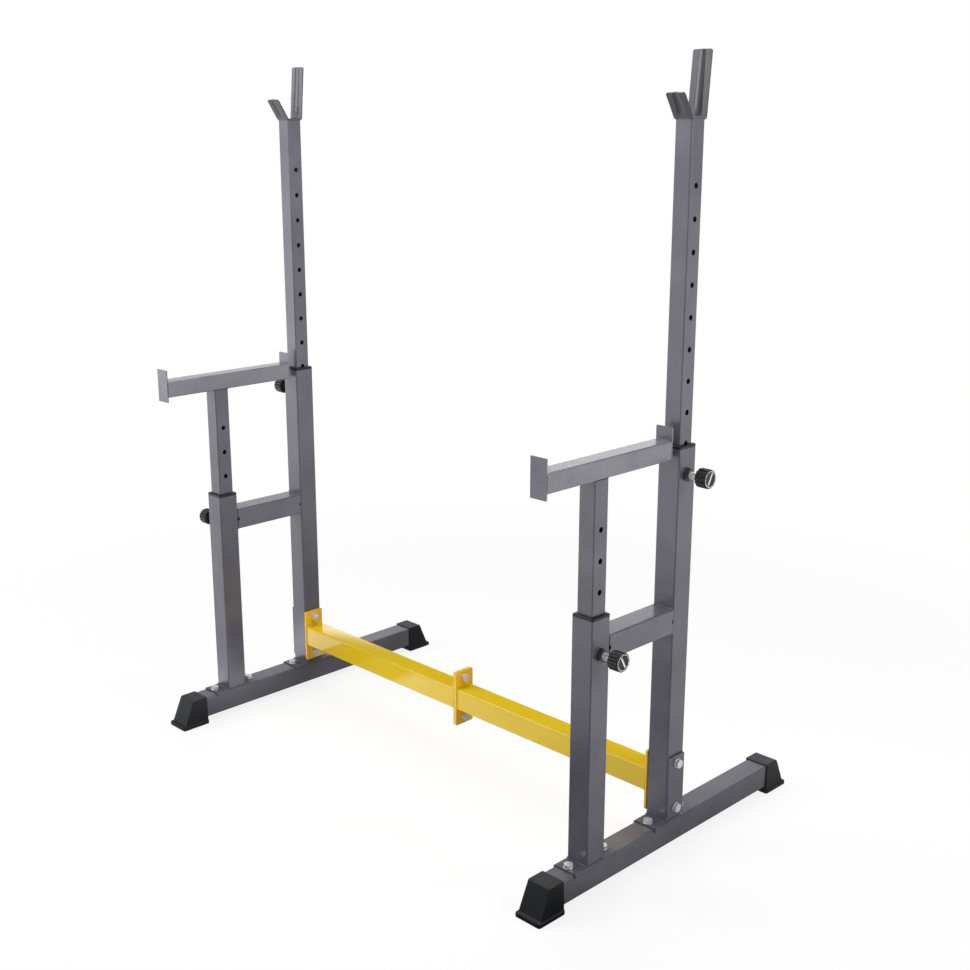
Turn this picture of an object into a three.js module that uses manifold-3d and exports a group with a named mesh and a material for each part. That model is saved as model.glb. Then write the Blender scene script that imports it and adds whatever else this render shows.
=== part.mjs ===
import * as THREE from 'three';
import { mergeVertices } from 'three/addons/utils/BufferGeometryUtils.js';
import Module from 'manifold-3d';

// Squat stand: two telescoping steel stands tied together by a bolted crossbar.
// Millimetres, +Z up, +X from the left stand to the right one, -Y towards the lifter.
// The origin is on the floor, midway between the two masts.

// Tube stock
const outerTube = 50.8;
const outerWall = 1.5;
const outerCorner = 3.2;
const innerTube = 38.1;
const innerWall = 1.5;
const innerCorner = 3;

// Fits: between faces that are bolted or welded, and round what slides or passes through
const faceGap = 0.1;
const slideGap = 0.3;
const boltGap = 0.3;
const pinGap = 0.3;

// How far a cutting tool runs past what it cuts
const overrun = 2;

// Layout of the two stands. The rear upright stands on the middle of its base.
const standSpacing = 1188;
const baseLength = 820;
const frontUprightInset = 166;
const rearTubeTop = 850;
const frontTubeTop = 568;
const braceDepth = 63;
const ventRadius = 3;

// Rows of adjusting holes, and how many of each row are below its pin
const holePitch = 60;
const holeRadius = 5.5;
const mastHoleCount = 10;
const postHoleCount = 7;
const mastLowHoleCount = 0;
const postLowHoleCount = 2;
const mastFootMargin = 55;
const postFootMargin = 63;
const mastTopMargin = 116.5;
const postTopMargin = 93.4;
const rearPinDepth = 52;
const frontPinDepth = 70;

// Feet
const soleThickness = 15;
const footLength = 73;
const footTopLength = 41;
const footWall = 2.5;
const footFlare = 0.6;
const footCorner = 4;
const footTopBevel = 1.5;
const socketDepth = 36;
const socketGap = 0.2;
const lipHeight = 3.5;
const lipRootHeight = 9;
const lipWidth = 1.8;
const lipReach = 7;

// Saddle plates under the uprights
const saddleThickness = 2.5;
const saddleLength = 123.6;
const saddleLip = 6;
const saddleBoltOffset = 50.5;

// Crossbar. Its flanges stand clear of the saddles.
const flangeRise = 11;
const flangeWidth = 54;
const flangeHeight = 132;
const flangeThickness = 5;
const flangeCorner = 2;
const flangeBoltOffset = 49;
const drainRadius = 6;

// Backing plate outside each rear upright
const backingWidth = 48;
const backingHeight = 133;
const backingThickness = 4;
const backingCorner = 3;

// Bolts
const boltRadius = 5;
const boltHeadHeight = 6.4;
const boltAcrossFlats = 17;
const nutHeight = 8;
const washerRadius = 10;
const washerThickness = 2;
const threadEnd = 3;
const saddleBoltReach = 20;

// Collars
const collarFlange = 6;
const collarBevel = 2.2;
const collarPlug = 35;

// Lock pins, drawn back at rest
const weldNutAcrossFlats = 24;
const weldNutHeight = 8;
const barrelRadius = 7.5;
const barrelReach = 14.6;
const pinRadius = 5;
const pinClear = 0.5;
const pinTravel = 12;
const pinChamfer = 1.5;
const knobSeatGap = 0.4;
const knobRadius = 19;
const knobLength = 27;
const knobBore = 14;
const knobRibDepth = 1;
const knobRibCount = 14;
const knobInnerChamfer = 4;
const knobOuterChamfer = 1.2;
const knobFaceRadius = 15;
const knobFaceDepth = 0.6;

// Bar cups
const cupWidth = 42;
const cupThickness = 3;
const cupBase = 44;
const cupTallRise = 121.5;
const cupShortRise = 45.5;
const cupTallLean = THREE.MathUtils.degToRad(4.7);
const cupShortLean = THREE.MathUtils.degToRad(32.8);
const cupBendRadius = 4;
const cupCorner = 4.5;
const cupRibWidth = 19;
const cupRibHeight = 4.2;
const cupRibTaper = 12;

// Spotter arms
const armForward = 145.5;
const armMastGap = 15;
const stopThickness = 3;
const stopRise = 26;
const stopCorner = 1.5;
const frontStopDrop = 11.5;

// Facets
const cornerSteps = 1;
const roundSides = 16;
const boltSides = 12;
const holeSides = 8;
const bendSteps = 4;

// Heights and half sizes that follow from the sizes above
const outerHalf = outerTube / 2;
const innerHalf = innerTube / 2;
const beamTop = soleThickness + outerTube;
const saddleTop = beamTop + faceGap + saddleThickness;
const uprightFoot = saddleTop + faceGap;
const crossbarHeight = saddleTop + flangeRise + flangeHeight / 2;
const uprightSpacing = baseLength / 2 - frontUprightInset;
const rearPinHeight = rearTubeTop - rearPinDepth;
const frontPinHeight = frontTubeTop - frontPinDepth;
const lowestMastHole = rearPinHeight - mastLowHoleCount * holePitch;
const mastFoot = lowestMastHole - mastFootMargin;
const mastTop = lowestMastHole + (mastHoleCount - 1) * holePitch + mastTopMargin;
const lowestPostHole = frontPinHeight - postLowHoleCount * holePitch;
const postFoot = lowestPostHole - postFootMargin;
const postTop = lowestPostHole + (postHoleCount - 1) * holePitch + postTopMargin;
const barrelEnd = outerHalf + barrelReach;
const knobFoot = barrelEnd + knobSeatGap + pinTravel;
const armRearward = uprightSpacing - outerHalf - armMastGap - stopThickness;
const boltHole = boltRadius + boltGap;
const flangeBoltHeights = {
  lower: crossbarHeight - flangeBoltOffset,
  upper: crossbarHeight + flangeBoltOffset,
};

// Finishes
const greyPaint = new THREE.MeshStandardMaterial({ color: 0x6f6e75, roughness: 0.5, metalness: 0.35 });
const yellowPaint = new THREE.MeshStandardMaterial({ color: 0xe0b52a, roughness: 0.35, metalness: 0 });
const blackPlastic = new THREE.MeshStandardMaterial({ color: 0x1e1e21, roughness: 0.55, metalness: 0 });
const blackRubber = new THREE.MeshStandardMaterial({ color: 0x29292c, roughness: 0.7, metalness: 0 });
const zinc = new THREE.MeshStandardMaterial({ color: 0xc4c7cc, roughness: 0.3, metalness: 1 });

const wasm = await Module();
wasm.setup();

// Joining and cutting

function toSolid(geometry) {
  const bare = geometry.clone();
  bare.deleteAttribute('normal');
  bare.deleteAttribute('uv');
  const merged = mergeVertices(bare);
  return new wasm.Manifold(
    new wasm.Mesh({
      numProp: 3,
      vertProperties: new Float32Array(merged.getAttribute('position').array),
      triVerts: new Uint32Array(merged.getIndex().array),
    }),
  );
}

function toGeometry(solid) {
  const mesh = solid.getMesh();
  const shared = new THREE.BufferGeometry();
  shared.setAttribute('position', new THREE.BufferAttribute(mesh.vertProperties, 3));
  shared.setIndex(new THREE.BufferAttribute(mesh.triVerts, 1));
  const geometry = shared.toNonIndexed();
  geometry.computeVertexNormals();
  return geometry;
}

function cut(geometry, tools) {
  return toGeometry(tools.reduce((solid, tool) => solid.subtract(toSolid(tool)), toSolid(geometry)));
}

function join(geometries) {
  const [first, ...others] = geometries.map(toSolid);
  return toGeometry(others.reduce((solid, other) => solid.add(other), first));
}

// Outlines

function roundedRectangle(width, height, corner) {
  const x = width / 2 - corner;
  const y = height / 2 - corner;
  const quarter = Math.PI / 2;
  const shape = new THREE.Shape();
  shape.absarc(x, y, corner, 0, quarter);
  shape.absarc(-x, y, corner, quarter, 2 * quarter);
  shape.absarc(-x, -y, corner, 2 * quarter, 3 * quarter);
  shape.absarc(x, -y, corner, 3 * quarter, 4 * quarter);
  return shape;
}

// Forms along +Z, and the turns that lay them along +X or Y

function prism(shape, from, to) {
  const options = { depth: to - from, bevelEnabled: false, curveSegments: cornerSteps };
  return new THREE.ExtrudeGeometry(shape, options).translate(0, 0, from);
}

function squareTube(size, wall, corner, from, to) {
  const bore = size - 2 * wall;
  const shape = roundedRectangle(size, size, corner);
  shape.holes.push(roundedRectangle(bore, bore, corner - wall));
  return prism(shape, from, to);
}

function rod(radius, from, to, sides) {
  const geometry = new THREE.CylinderGeometry(radius, radius, to - from, sides);
  return geometry.rotateX(Math.PI / 2).translate(0, 0, (from + to) / 2);
}

const hexagon = (acrossFlats, from, to) => rod(acrossFlats / 2 / Math.cos(Math.PI / 6), from, to, 6);
const alongX = (geometry) => geometry.rotateY(Math.PI / 2);
const alongY = (geometry) => geometry.rotateX(Math.PI / 2);

// A closed body through rings of points in one order, counterclockwise seen from the last ring
function loft(rings, outline) {
  const count = outline.length;
  const farRing = (rings.length - 1) * count;
  const index = [];
  for (let ring = 0; ring < rings.length - 1; ring += 1) {
    for (let step = 0; step < count; step += 1) {
      const here = ring * count + step;
      const next = ring * count + ((step + 1) % count);
      index.push(here, next, next + count, here, next + count, here + count);
    }
  }
  for (const [a, b, c] of THREE.ShapeUtils.triangulateShape(outline, [])) {
    index.push(a, c, b, farRing + a, farRing + b, farRing + c);
  }
  const geometry = new THREE.BufferGeometry();
  const positions = rings.flat().flatMap((point) => point.toArray());
  geometry.setAttribute('position', new THREE.Float32BufferAttribute(positions, 3));
  geometry.setIndex(index);
  return geometry;
}

// Rounded rectangles stacked along Z. Each runs from near to far along Y.
function stack(levels) {
  const outlines = levels.map(({ width, near, far, corner }) =>
    roundedRectangle(width, far - near, corner).getPoints(cornerSteps),
  );
  const rings = levels.map(({ near, far, z }, level) =>
    outlines[level].map((point) => new THREE.Vector3(point.x, point.y + (near + far) / 2, z)),
  );
  return loft(rings, outlines[0]);
}

// Steel of the base and uprights

function baseBeam() {
  const half = baseLength / 2 - footLength + socketDepth - slideGap;
  const beam = alongY(squareTube(outerTube, outerWall, outerCorner, -half, half));
  const boltRows = [-uprightSpacing, 0].flatMap((y) => [y - saddleBoltOffset, y + saddleBoltOffset]);
  const holes = boltRows.map((y) => rod(boltHole, 0, outerHalf + overrun, boltSides).translate(0, y, 0));
  return cut(beam, holes);
}

function saddle() {
  const inside = outerHalf + faceGap;
  const outside = inside + saddleThickness;
  const bend = saddleThickness;
  const shape = new THREE.Shape();
  shape.moveTo(inside, 0);
  shape.lineTo(inside, -saddleLip);
  shape.lineTo(outside, -saddleLip);
  shape.absarc(outside - bend, 0, bend, 0, Math.PI / 2);
  shape.absarc(bend - outside, 0, bend, Math.PI / 2, Math.PI);
  shape.lineTo(-outside, -saddleLip);
  shape.lineTo(-inside, -saddleLip);
  shape.lineTo(-inside, 0);
  const plate = alongY(prism(shape, -saddleLength / 2, saddleLength / 2));
  const holes = [-saddleBoltOffset, saddleBoltOffset].map((y) =>
    rod(boltHole, -overrun, saddleThickness + overrun, boltSides).translate(0, y, 0),
  );
  return cut(plate, holes);
}

// A square upright whose outer wall takes a pin barrel and whose side walls take crossbar bolts
function upright(top, pinHeight, boltHeights) {
  const tube = squareTube(outerTube, outerWall, outerCorner, 0, top - uprightFoot);
  const barrelHole = alongX(rod(barrelRadius + pinGap, 0, outerHalf + overrun, roundSides));
  const reach = outerHalf + overrun;
  const boltHoles = boltHeights.map((height) =>
    alongX(rod(boltHole, -reach, reach, boltSides)).translate(0, 0, height - uprightFoot),
  );
  return cut(tube, [barrelHole.translate(0, 0, pinHeight - uprightFoot), ...boltHoles]);
}

function brace() {
  const half = uprightSpacing / 2 - outerHalf - faceGap;
  const tube = alongY(squareTube(outerTube, outerWall, outerCorner, -half, half));
  const reach = outerHalf + overrun;
  const vents = [-half, half].map((y) =>
    alongX(rod(ventRadius, -reach, reach, holeSides)).translate(0, y, 0),
  );
  return cut(tube, vents);
}

function backingPlate() {
  const inside = outerHalf + faceGap;
  const outside = inside + backingThickness;
  const plate = prism(roundedRectangle(backingHeight, backingWidth, backingCorner), inside, outside);
  const holes = [-flangeBoltOffset, flangeBoltOffset].map((x) =>
    rod(boltHole, inside - overrun, outside + overrun, boltSides).translate(x, 0, 0),
  );
  return alongX(cut(plate, holes));
}

// Feet and collars

// A moulded boot: its near end takes the beam, its far end slopes down to a lip round the sole
function foot() {
  const topWidth = outerTube + 2 * (socketGap + footWall);
  const rootWidth = topWidth + 2 * footFlare;
  const lip = rootWidth + 2 * lipWidth;
  const height = beamTop + socketGap + footWall;
  const bevelWidth = topWidth - 2 * footTopBevel;
  const bevelLength = footTopLength - footTopBevel;
  const corner = footCorner;
  const shell = stack([
    { z: 0, width: lip, near: 0, far: footLength, corner },
    { z: lipHeight, width: lip, near: 0, far: footLength, corner },
    { z: lipRootHeight, width: rootWidth, near: 0, far: footLength - lipReach, corner },
    { z: height - footTopBevel, width: topWidth, near: 0, far: footTopLength, corner },
    { z: height, width: bevelWidth, near: footTopBevel, far: bevelLength, corner },
  ]);
  const socketWidth = outerTube + 2 * socketGap;
  const socketHeight = outerTube + faceGap + socketGap;
  const socket = new THREE.BoxGeometry(socketWidth, socketDepth + overrun, socketHeight);
  socket.translate(0, (socketDepth - overrun) / 2, soleThickness - faceGap + socketHeight / 2);
  return cut(shell, [socket]);
}

// A guide bush: a plug inside the outer tube under a flange that caps the tube's edge
function collar() {
  const level = (z, width, corner) => ({ z, width, near: -width / 2, far: width / 2, corner });
  const plugWidth = outerTube - 2 * (outerWall + slideGap);
  const plugCorner = outerCorner - outerWall;
  const bush = stack([
    level(-collarPlug, plugWidth, plugCorner),
    level(0, plugWidth, plugCorner),
    level(0, outerTube, outerCorner),
    level(collarFlange - collarBevel, outerTube, outerCorner),
    level(collarFlange, outerTube - 2 * collarBevel, outerCorner),
  ]);
  const boreWidth = innerTube + 2 * slideGap;
  const boreShape = roundedRectangle(boreWidth, boreWidth, innerCorner + slideGap);
  return cut(bush, [prism(boreShape, -collarPlug - overrun, collarFlange + overrun)]);
}

// Sliding pieces

function drilledTube(length, holeCount, footMargin) {
  const tube = squareTube(innerTube, innerWall, innerCorner, 0, length);
  const reach = innerHalf + overrun;
  const holes = Array.from({ length: holeCount }, (_, hole) =>
    alongX(rod(holeRadius, -reach, reach, holeSides)).translate(0, 0, footMargin + hole * holePitch),
  );
  return cut(tube, holes);
}

// One leg of a bar cup's strip, from the middle of its base out to its free end
function cupLeg(lean, rise) {
  const turn = Math.PI / 2 - lean;
  const middle = cupBendRadius + cupThickness / 2;
  const bendFoot = cupBase / 2 - middle - cupThickness / 2;
  const bendRise = middle * (1 - Math.cos(turn));
  const straight = (rise - bendRise - cupThickness / 2) / Math.sin(turn);
  const bend = Array.from({ length: bendSteps + 1 }, (_, step) => {
    const heading = (turn * step) / bendSteps;
    const y = bendFoot + middle * Math.sin(heading);
    return { heading, y, z: middle * (1 - Math.cos(heading)), rib: 0, inset: 0 };
  });
  const cornerShares = [1, 0.3, 0];
  const plate = [
    { along: cupRibTaper, inset: 0 },
    ...cornerShares.map((share) => ({
      along: straight - share * cupCorner,
      inset: cupCorner * (1 - Math.sqrt(1 - (1 - share) ** 2)),
    })),
  ];
  const root = bend.at(-1);
  const stations = plate.map(({ along, inset }) => {
    const y = root.y + along * Math.cos(turn);
    return { heading: turn, y, z: root.z + along * Math.sin(turn), rib: cupRibHeight, inset };
  });
  return [...bend, ...stations];
}

// A strip folded into a Y, with a pressed rib that stands up inside both plates
function barCup() {
  const mirrored = ({ heading, y, ...rest }) => ({ heading: -heading, y: -y, ...rest });
  const shortLeg = cupLeg(cupShortLean, cupShortRise).map(mirrored).reverse();
  const path = [...shortLeg, ...cupLeg(cupTallLean, cupTallRise)];
  const section = ({ rib, inset }) => {
    const edge = cupWidth / 2 - inset;
    const foot = cupRibWidth / 2;
    const crossing = [
      [edge, 0],
      [foot, 0],
      [0, rib],
      [-foot, 0],
      [-edge, 0],
    ];
    const half = cupThickness / 2;
    const under = crossing.map(([u, v]) => new THREE.Vector2(-u, v - half));
    const over = crossing.map(([u, v]) => new THREE.Vector2(u, v + half));
    return [...under, ...over];
  };
  const rings = path.map((station) =>
    section(station).map(({ x, y }) => {
      const depth = station.y - y * Math.sin(station.heading);
      const height = station.z + y * Math.cos(station.heading) + cupThickness / 2;
      return new THREE.Vector3(-x, depth, height);
    }),
  );
  return loft(rings, section(path[0]));
}

// A tube with an upright stop plate on each end, standing on its post
function spotterArm() {
  const welded = stopThickness / 2;
  const middle = innerTube / 2;
  const from = -armRearward - welded;
  const tube = alongY(squareTube(innerTube, innerWall, innerCorner, from, armForward + welded));
  const stop = (y, foot, top) => {
    const plate = prism(roundedRectangle(innerTube, top - foot, stopCorner), -y - stopThickness, -y);
    return alongY(plate).translate(0, 0, (foot + top) / 2 - middle);
  };
  const top = innerTube + stopRise;
  const stops = [stop(-armForward - stopThickness, -frontStopDrop, top), stop(armRearward, 0, top)];
  const drain = rod(drainRadius, -innerTube, 0, boltSides);
  return cut(join([tube, ...stops]), [drain]).translate(0, 0, middle);
}

// Crossbar half: a tube with a taller flange on each end, drained through the flanges
function crossbarHalf(length) {
  const welded = flangeThickness / 2;
  const tube = squareTube(outerTube, outerWall, outerCorner, welded, length - welded);
  const flangeShape = roundedRectangle(flangeHeight, flangeWidth, flangeCorner);
  const flanges = [0, length - flangeThickness].map((foot) =>
    prism(flangeShape, foot, foot + flangeThickness),
  );
  const holes = [
    { x: -flangeBoltOffset, radius: boltHole },
    { x: 0, radius: drainRadius },
    { x: flangeBoltOffset, radius: boltHole },
  ].map(({ x, radius }) => rod(radius, -overrun, length + overrun, boltSides).translate(x, 0, 0));
  return alongX(cut(join([tube, ...flanges]), holes));
}

// Lock pins, along +X from the upright's axis

// A barrel with the nut that holds it on the upright, bored for the pin
function pinBarrel() {
  const nutFoot = outerHalf + faceGap;
  const nut = hexagon(weldNutAcrossFlats, nutFoot, nutFoot + weldNutHeight);
  const barrelFoot = outerHalf - outerWall;
  const barrel = rod(barrelRadius, barrelFoot, barrelEnd, roundSides);
  const bore = rod(pinRadius + pinGap, barrelFoot - overrun, barrelEnd + overrun, roundSides);
  return alongX(cut(join([nut, barrel]), [bore]));
}

function lockPin() {
  const tip = innerHalf + pinClear;
  const end = knobFoot + knobBore - pinGap;
  const profile = [
    new THREE.Vector2(0, tip),
    new THREE.Vector2(pinRadius - pinChamfer, tip),
    new THREE.Vector2(pinRadius, tip + pinChamfer),
    new THREE.Vector2(pinRadius, end),
    new THREE.Vector2(0, end),
  ];
  return new THREE.LatheGeometry(profile, roundSides).rotateZ(-Math.PI / 2);
}

// A ribbed knob with a recessed face, bored to take the end of its pin
function knob() {
  const ribShares = [0, 0, 1];
  const pointCount = knobRibCount * ribShares.length;
  const outline = (radius, depth) =>
    Array.from({ length: pointCount }, (_, step) => {
      const angle = (2 * Math.PI * step) / pointCount;
      const reach = radius - depth * ribShares[step % ribShares.length];
      return new THREE.Vector2(reach * Math.cos(angle), reach * Math.sin(angle));
    });
  const end = knobFoot + knobLength;
  const levels = [
    { z: knobFoot, radius: knobRadius - knobInnerChamfer, depth: 0 },
    { z: knobFoot + knobInnerChamfer, radius: knobRadius, depth: knobRibDepth },
    { z: end - knobOuterChamfer, radius: knobRadius, depth: knobRibDepth },
    { z: end, radius: knobRadius - knobOuterChamfer, depth: 0 },
  ];
  const rings = levels.map(({ z, radius, depth }) =>
    outline(radius, depth).map((point) => new THREE.Vector3(point.x, point.y, z)),
  );
  const body = loft(rings, outline(knobRadius, 0));
  const bore = rod(pinRadius + pinGap, knobFoot - overrun, knobFoot + knobBore, roundSides);
  const face = rod(knobFaceRadius, end - knobFaceDepth, end + overrun, 2 * roundSides);
  return alongX(cut(body, [bore, face]));
}

// Bolts, with the bearing face of their head's washer at zero and the shank towards -Z

function boltHead(shankEnd) {
  return [
    rod(washerRadius, 0, washerThickness, boltSides),
    hexagon(boltAcrossFlats, washerThickness / 2, washerThickness + boltHeadHeight),
    rod(boltRadius, shankEnd, washerThickness, boltSides),
  ];
}

const saddleBolt = () => join(boltHead(-saddleBoltReach));

function throughBolt(grip) {
  const nutFace = -grip - washerThickness;
  const nut = [
    rod(washerRadius, nutFace, -grip, boltSides),
    hexagon(boltAcrossFlats, nutFace - nutHeight, nutFace + washerThickness / 2),
  ];
  return alongX(join([...boltHead(nutFace - nutHeight - threadEnd), ...nut]));
}

// Assembly

function piece(name, geometry, material, x, y, z, turn = 0) {
  const mesh = new THREE.Mesh(geometry, material);
  mesh.name = name;
  mesh.position.set(x, y, z);
  mesh.rotation.z = turn;
  return mesh;
}

// One stand. Its outward pieces are turned so that they face away from the other stand.
function stand({ name, place, turn }) {
  const x = (place * standSpacing) / 2;
  const footPlace = baseLength / 2 - footLength;
  const group = new THREE.Group();
  const add = (part, geometry, material, y, z, turned = 0) =>
    group.add(piece(`${name}_${part}`, geometry, material, x, y, z, turned));

  add('base_beam', baseBeam(), greyPaint, 0, soleThickness + outerHalf);
  add('front_foot', foot(), blackRubber, -footPlace, 0, Math.PI);
  add('rear_foot', foot(), blackRubber, footPlace, 0);
  add('brace', brace(), greyPaint, -uprightSpacing / 2, frontTubeTop - braceDepth);
  add('backing_plate', backingPlate(), greyPaint, 0, crossbarHeight, turn);

  const towers = [
    { part: 'rear', y: 0, top: rearTubeTop, pin: rearPinHeight, bolts: Object.values(flangeBoltHeights) },
    { part: 'front', y: -uprightSpacing, top: frontTubeTop, pin: frontPinHeight, bolts: [] },
  ];
  for (const { part, y, top, pin, bolts } of towers) {
    add(`${part}_saddle`, saddle(), greyPaint, y, beamTop + faceGap);
    add(`${part}_upright`, upright(top, pin, bolts), greyPaint, y, uprightFoot, turn);
    add(`${part}_collar`, collar(), blackPlastic, y, top + faceGap);
    add(`${part}_pin_barrel`, pinBarrel(), zinc, y, pin, turn);
    add(`${part}_lock_pin`, lockPin(), zinc, y, pin, turn);
    add(`${part}_knob`, knob(), blackPlastic, y, pin, turn);
    add(`${part}_saddle_bolt_ahead`, saddleBolt(), zinc, y - saddleBoltOffset, saddleTop + faceGap);
    add(`${part}_saddle_bolt_behind`, saddleBolt(), zinc, y + saddleBoltOffset, saddleTop + faceGap);
  }

  const mast = drilledTube(mastTop - mastFoot, mastHoleCount, mastFootMargin);
  add('mast', mast, greyPaint, 0, mastFoot);
  add('bar_cup', barCup(), greyPaint, 0, mastTop + faceGap);
  const armPost = drilledTube(postTop - postFoot, postHoleCount, postFootMargin);
  add('arm_post', armPost, greyPaint, -uprightSpacing, postFoot);
  add('spotter_arm', spotterArm(), greyPaint, -uprightSpacing, postTop + faceGap);
  return group;
}

// The two halves of the crossbar, bolted back to back, and the bolts that hold them
function crossbar(sides) {
  const group = new THREE.Group();
  const upright = outerHalf + faceGap;
  const length = standSpacing / 2 - upright - faceGap / 2;
  const backingFace = upright + backingThickness + faceGap;
  const endGrip = backingFace + upright + flangeThickness + faceGap;
  const middleGrip = 2 * (flangeThickness + faceGap) + faceGap;
  for (const { name, place, turn } of sides) {
    const mastPlace = (place * standSpacing) / 2;
    const start = mastPlace - place * upright;
    const half = crossbarHalf(length);
    group.add(piece(`${name}_crossbar`, half, yellowPaint, start, 0, crossbarHeight, turn + Math.PI));
    const boltFace = mastPlace + place * backingFace;
    for (const [level, height] of Object.entries(flangeBoltHeights)) {
      group.add(piece(`${name}_${level}_end_bolt`, throughBolt(endGrip), zinc, boltFace, 0, height, turn));
    }
  }
  const middleFace = middleGrip / 2;
  for (const [level, height] of Object.entries(flangeBoltHeights)) {
    group.add(piece(`${level}_middle_bolt`, throughBolt(middleGrip), zinc, middleFace, 0, height));
  }
  return group;
}

const sides = [
  { name: 'left', place: -1, turn: Math.PI },
  { name: 'right', place: 1, turn: 0 },
];
const squatStand = new THREE.Group();
squatStand.add(...sides.map(stand), crossbar(sides));

export default squatStand;
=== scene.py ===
# %% [markdown]
# # A squat stand in steel tube
# Two telescoping stands hold a barbell at shoulder height. Each one is a sliding mast with a
# V-shaped cup on top, a sliding spotter arm in front, and a long foot. A yellow crossbar ties them
# together. The CAD model gives the main sizes and every joint. This script builds the visible
# surfaces round it: rounded tube corners, weld beads, threads, ribs, paint and light.
# The first cell loads that model as a fixed frame.

# %% Load the frame
import math

import bpy
import numpy as np
from mathutils import Matrix, Vector


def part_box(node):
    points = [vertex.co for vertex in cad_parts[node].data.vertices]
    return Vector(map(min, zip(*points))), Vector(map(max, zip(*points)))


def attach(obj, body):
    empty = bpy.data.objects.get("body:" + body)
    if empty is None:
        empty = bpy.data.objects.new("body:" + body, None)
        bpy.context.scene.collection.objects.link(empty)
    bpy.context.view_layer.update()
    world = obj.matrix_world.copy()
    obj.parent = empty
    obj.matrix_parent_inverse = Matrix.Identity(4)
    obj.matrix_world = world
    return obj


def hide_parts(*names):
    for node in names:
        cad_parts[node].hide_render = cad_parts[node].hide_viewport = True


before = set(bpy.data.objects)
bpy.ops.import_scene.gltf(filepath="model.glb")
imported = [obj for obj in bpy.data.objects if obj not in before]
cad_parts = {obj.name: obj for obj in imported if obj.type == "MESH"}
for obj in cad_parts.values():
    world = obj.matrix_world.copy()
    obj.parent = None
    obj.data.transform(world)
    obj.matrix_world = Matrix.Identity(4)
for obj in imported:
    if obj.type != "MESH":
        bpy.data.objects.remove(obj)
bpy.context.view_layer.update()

# %% [markdown]
# ## Camera
# The photograph looks down at the stand from the front right. Its viewpoint was worked out by
# fitting the known straight edges of the tubes to a pinhole camera, which also gives the focal
# length. The optical axis passes a few pixels beside the middle of the picture, so the lens has a
# very small shift. A fixed lens and a turned camera are the simplest way to keep that view exact.

# %% Place the camera
PICTURE_PIXELS = 970
FOCAL_PIXELS = 1351.9
AXIS_PIXELS = (478.93, 484.66)
SENSOR_MM = 36.0
CAMERA_PLACE = (2.1178, -2.0453, 1.4487)
CAMERA_DIP_DEGREES = 15.0
CAMERA_HEADING_DEGREES = 45.27


def new_object(name, data):
    """An object with its data, linked to the scene."""
    made = bpy.data.objects.new(name, data)
    bpy.context.scene.collection.objects.link(made)
    return made


lens = bpy.data.cameras.new("photo_camera")
lens.sensor_width = SENSOR_MM
lens.lens = FOCAL_PIXELS / PICTURE_PIXELS * SENSOR_MM
lens.shift_x = 0.5 - AXIS_PIXELS[0] / PICTURE_PIXELS
lens.shift_y = AXIS_PIXELS[1] / PICTURE_PIXELS - 0.5
camera = new_object("photo_camera", lens)
camera.location = CAMERA_PLACE
camera.rotation_euler = (math.radians(90 - CAMERA_DIP_DEGREES), 0, math.radians(CAMERA_HEADING_DEGREES))
bpy.context.scene.camera = camera
print("lens in mm:", round(lens.lens, 2))

# %% [markdown]
# ## Colours and shader nodes
# Paint colours are easiest to read as the hex codes that a picture editor shows. Blender mixes
# light in linear values, so one function turns the first into the second. Shader trees are long
# lists of nodes, so one more function adds a node with its settings, its links and, for a colour
# ramp, its stops.

# %% Colour and node helpers


def linear(code):
    """The linear RGBA colour of an sRGB hex code such as "6b6a70"."""
    channels = [int(code[place : place + 2], 16) / 255 for place in (0, 2, 4)]
    return [c / 12.92 if c <= 0.04045 else ((c + 0.055) / 1.055) ** 2.4 for c in channels] + [1.0]


def node(tree, kind, inputs=None, stops=(), **settings):
    """Adds a shader node. An input takes a value, an output, or a node for its first output in use."""
    made = tree.nodes.new(kind)
    for place, (position, level) in enumerate(stops):
        if place > 1:
            made.color_ramp.elements.new(position)
        made.color_ramp.elements[place].position = position
        made.color_ramp.elements[place].color = (level, level, level, 1.0)
    for key, value in settings.items():
        setattr(made, key, value)
    for key, value in (inputs or {}).items():
        if isinstance(value, bpy.types.Node):
            value = next(output for output in value.outputs if output.enabled)
        if isinstance(value, bpy.types.NodeSocket):
            tree.links.new(value, made.inputs[key])
        else:
            made.inputs[key].default_value = value
    return made


def empty_tree(owner):
    """The node tree of a new material or world, with nothing in it."""
    owner.use_nodes = True
    owner.node_tree.nodes.clear()
    return owner.node_tree


print("mid grey 808080 is", round(linear("808080")[0], 3), "in linear light")

# %% [markdown]
# ## Floor
# The photograph was made on a white paper sweep. A sweep could be a curved sheet, but here a very
# large plane will do, because the backdrop is just as white. The plane is stage, not a piece.

# %% Lay the floor
FLOOR_SIZE = 60.0

floor_mesh = bpy.data.meshes.new("studio_floor")
reach = FLOOR_SIZE / 2
floor_mesh.from_pydata(
    [(-reach, -reach, 0), (reach, -reach, 0), (reach, reach, 0), (-reach, reach, 0)], [], [(0, 1, 2, 3)]
)
new_object("studio_floor", floor_mesh)
print("floor is", FLOOR_SIZE, "m across")

# %% [markdown]
# ## Levels by heading
# The light in the studio differs from side to side. A colour ramp can hold such levels if it gets
# the heading of a point or a ray as a share of a full turn. Both ends of the ramp take the same
# level, so that no seam shows where the turn closes.

# %% Heading helpers


def round_trip(levels):
    """Ramp stops for levels at even headings, from -X round through -Y, +X and +Y to -X again."""
    seam = (levels[0] + levels[-1]) / 2
    middles = [((step + 0.5) / len(levels), level) for step, level in enumerate(levels)]
    return [(0.0, seam), *middles, (1.0, seam)]


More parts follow.
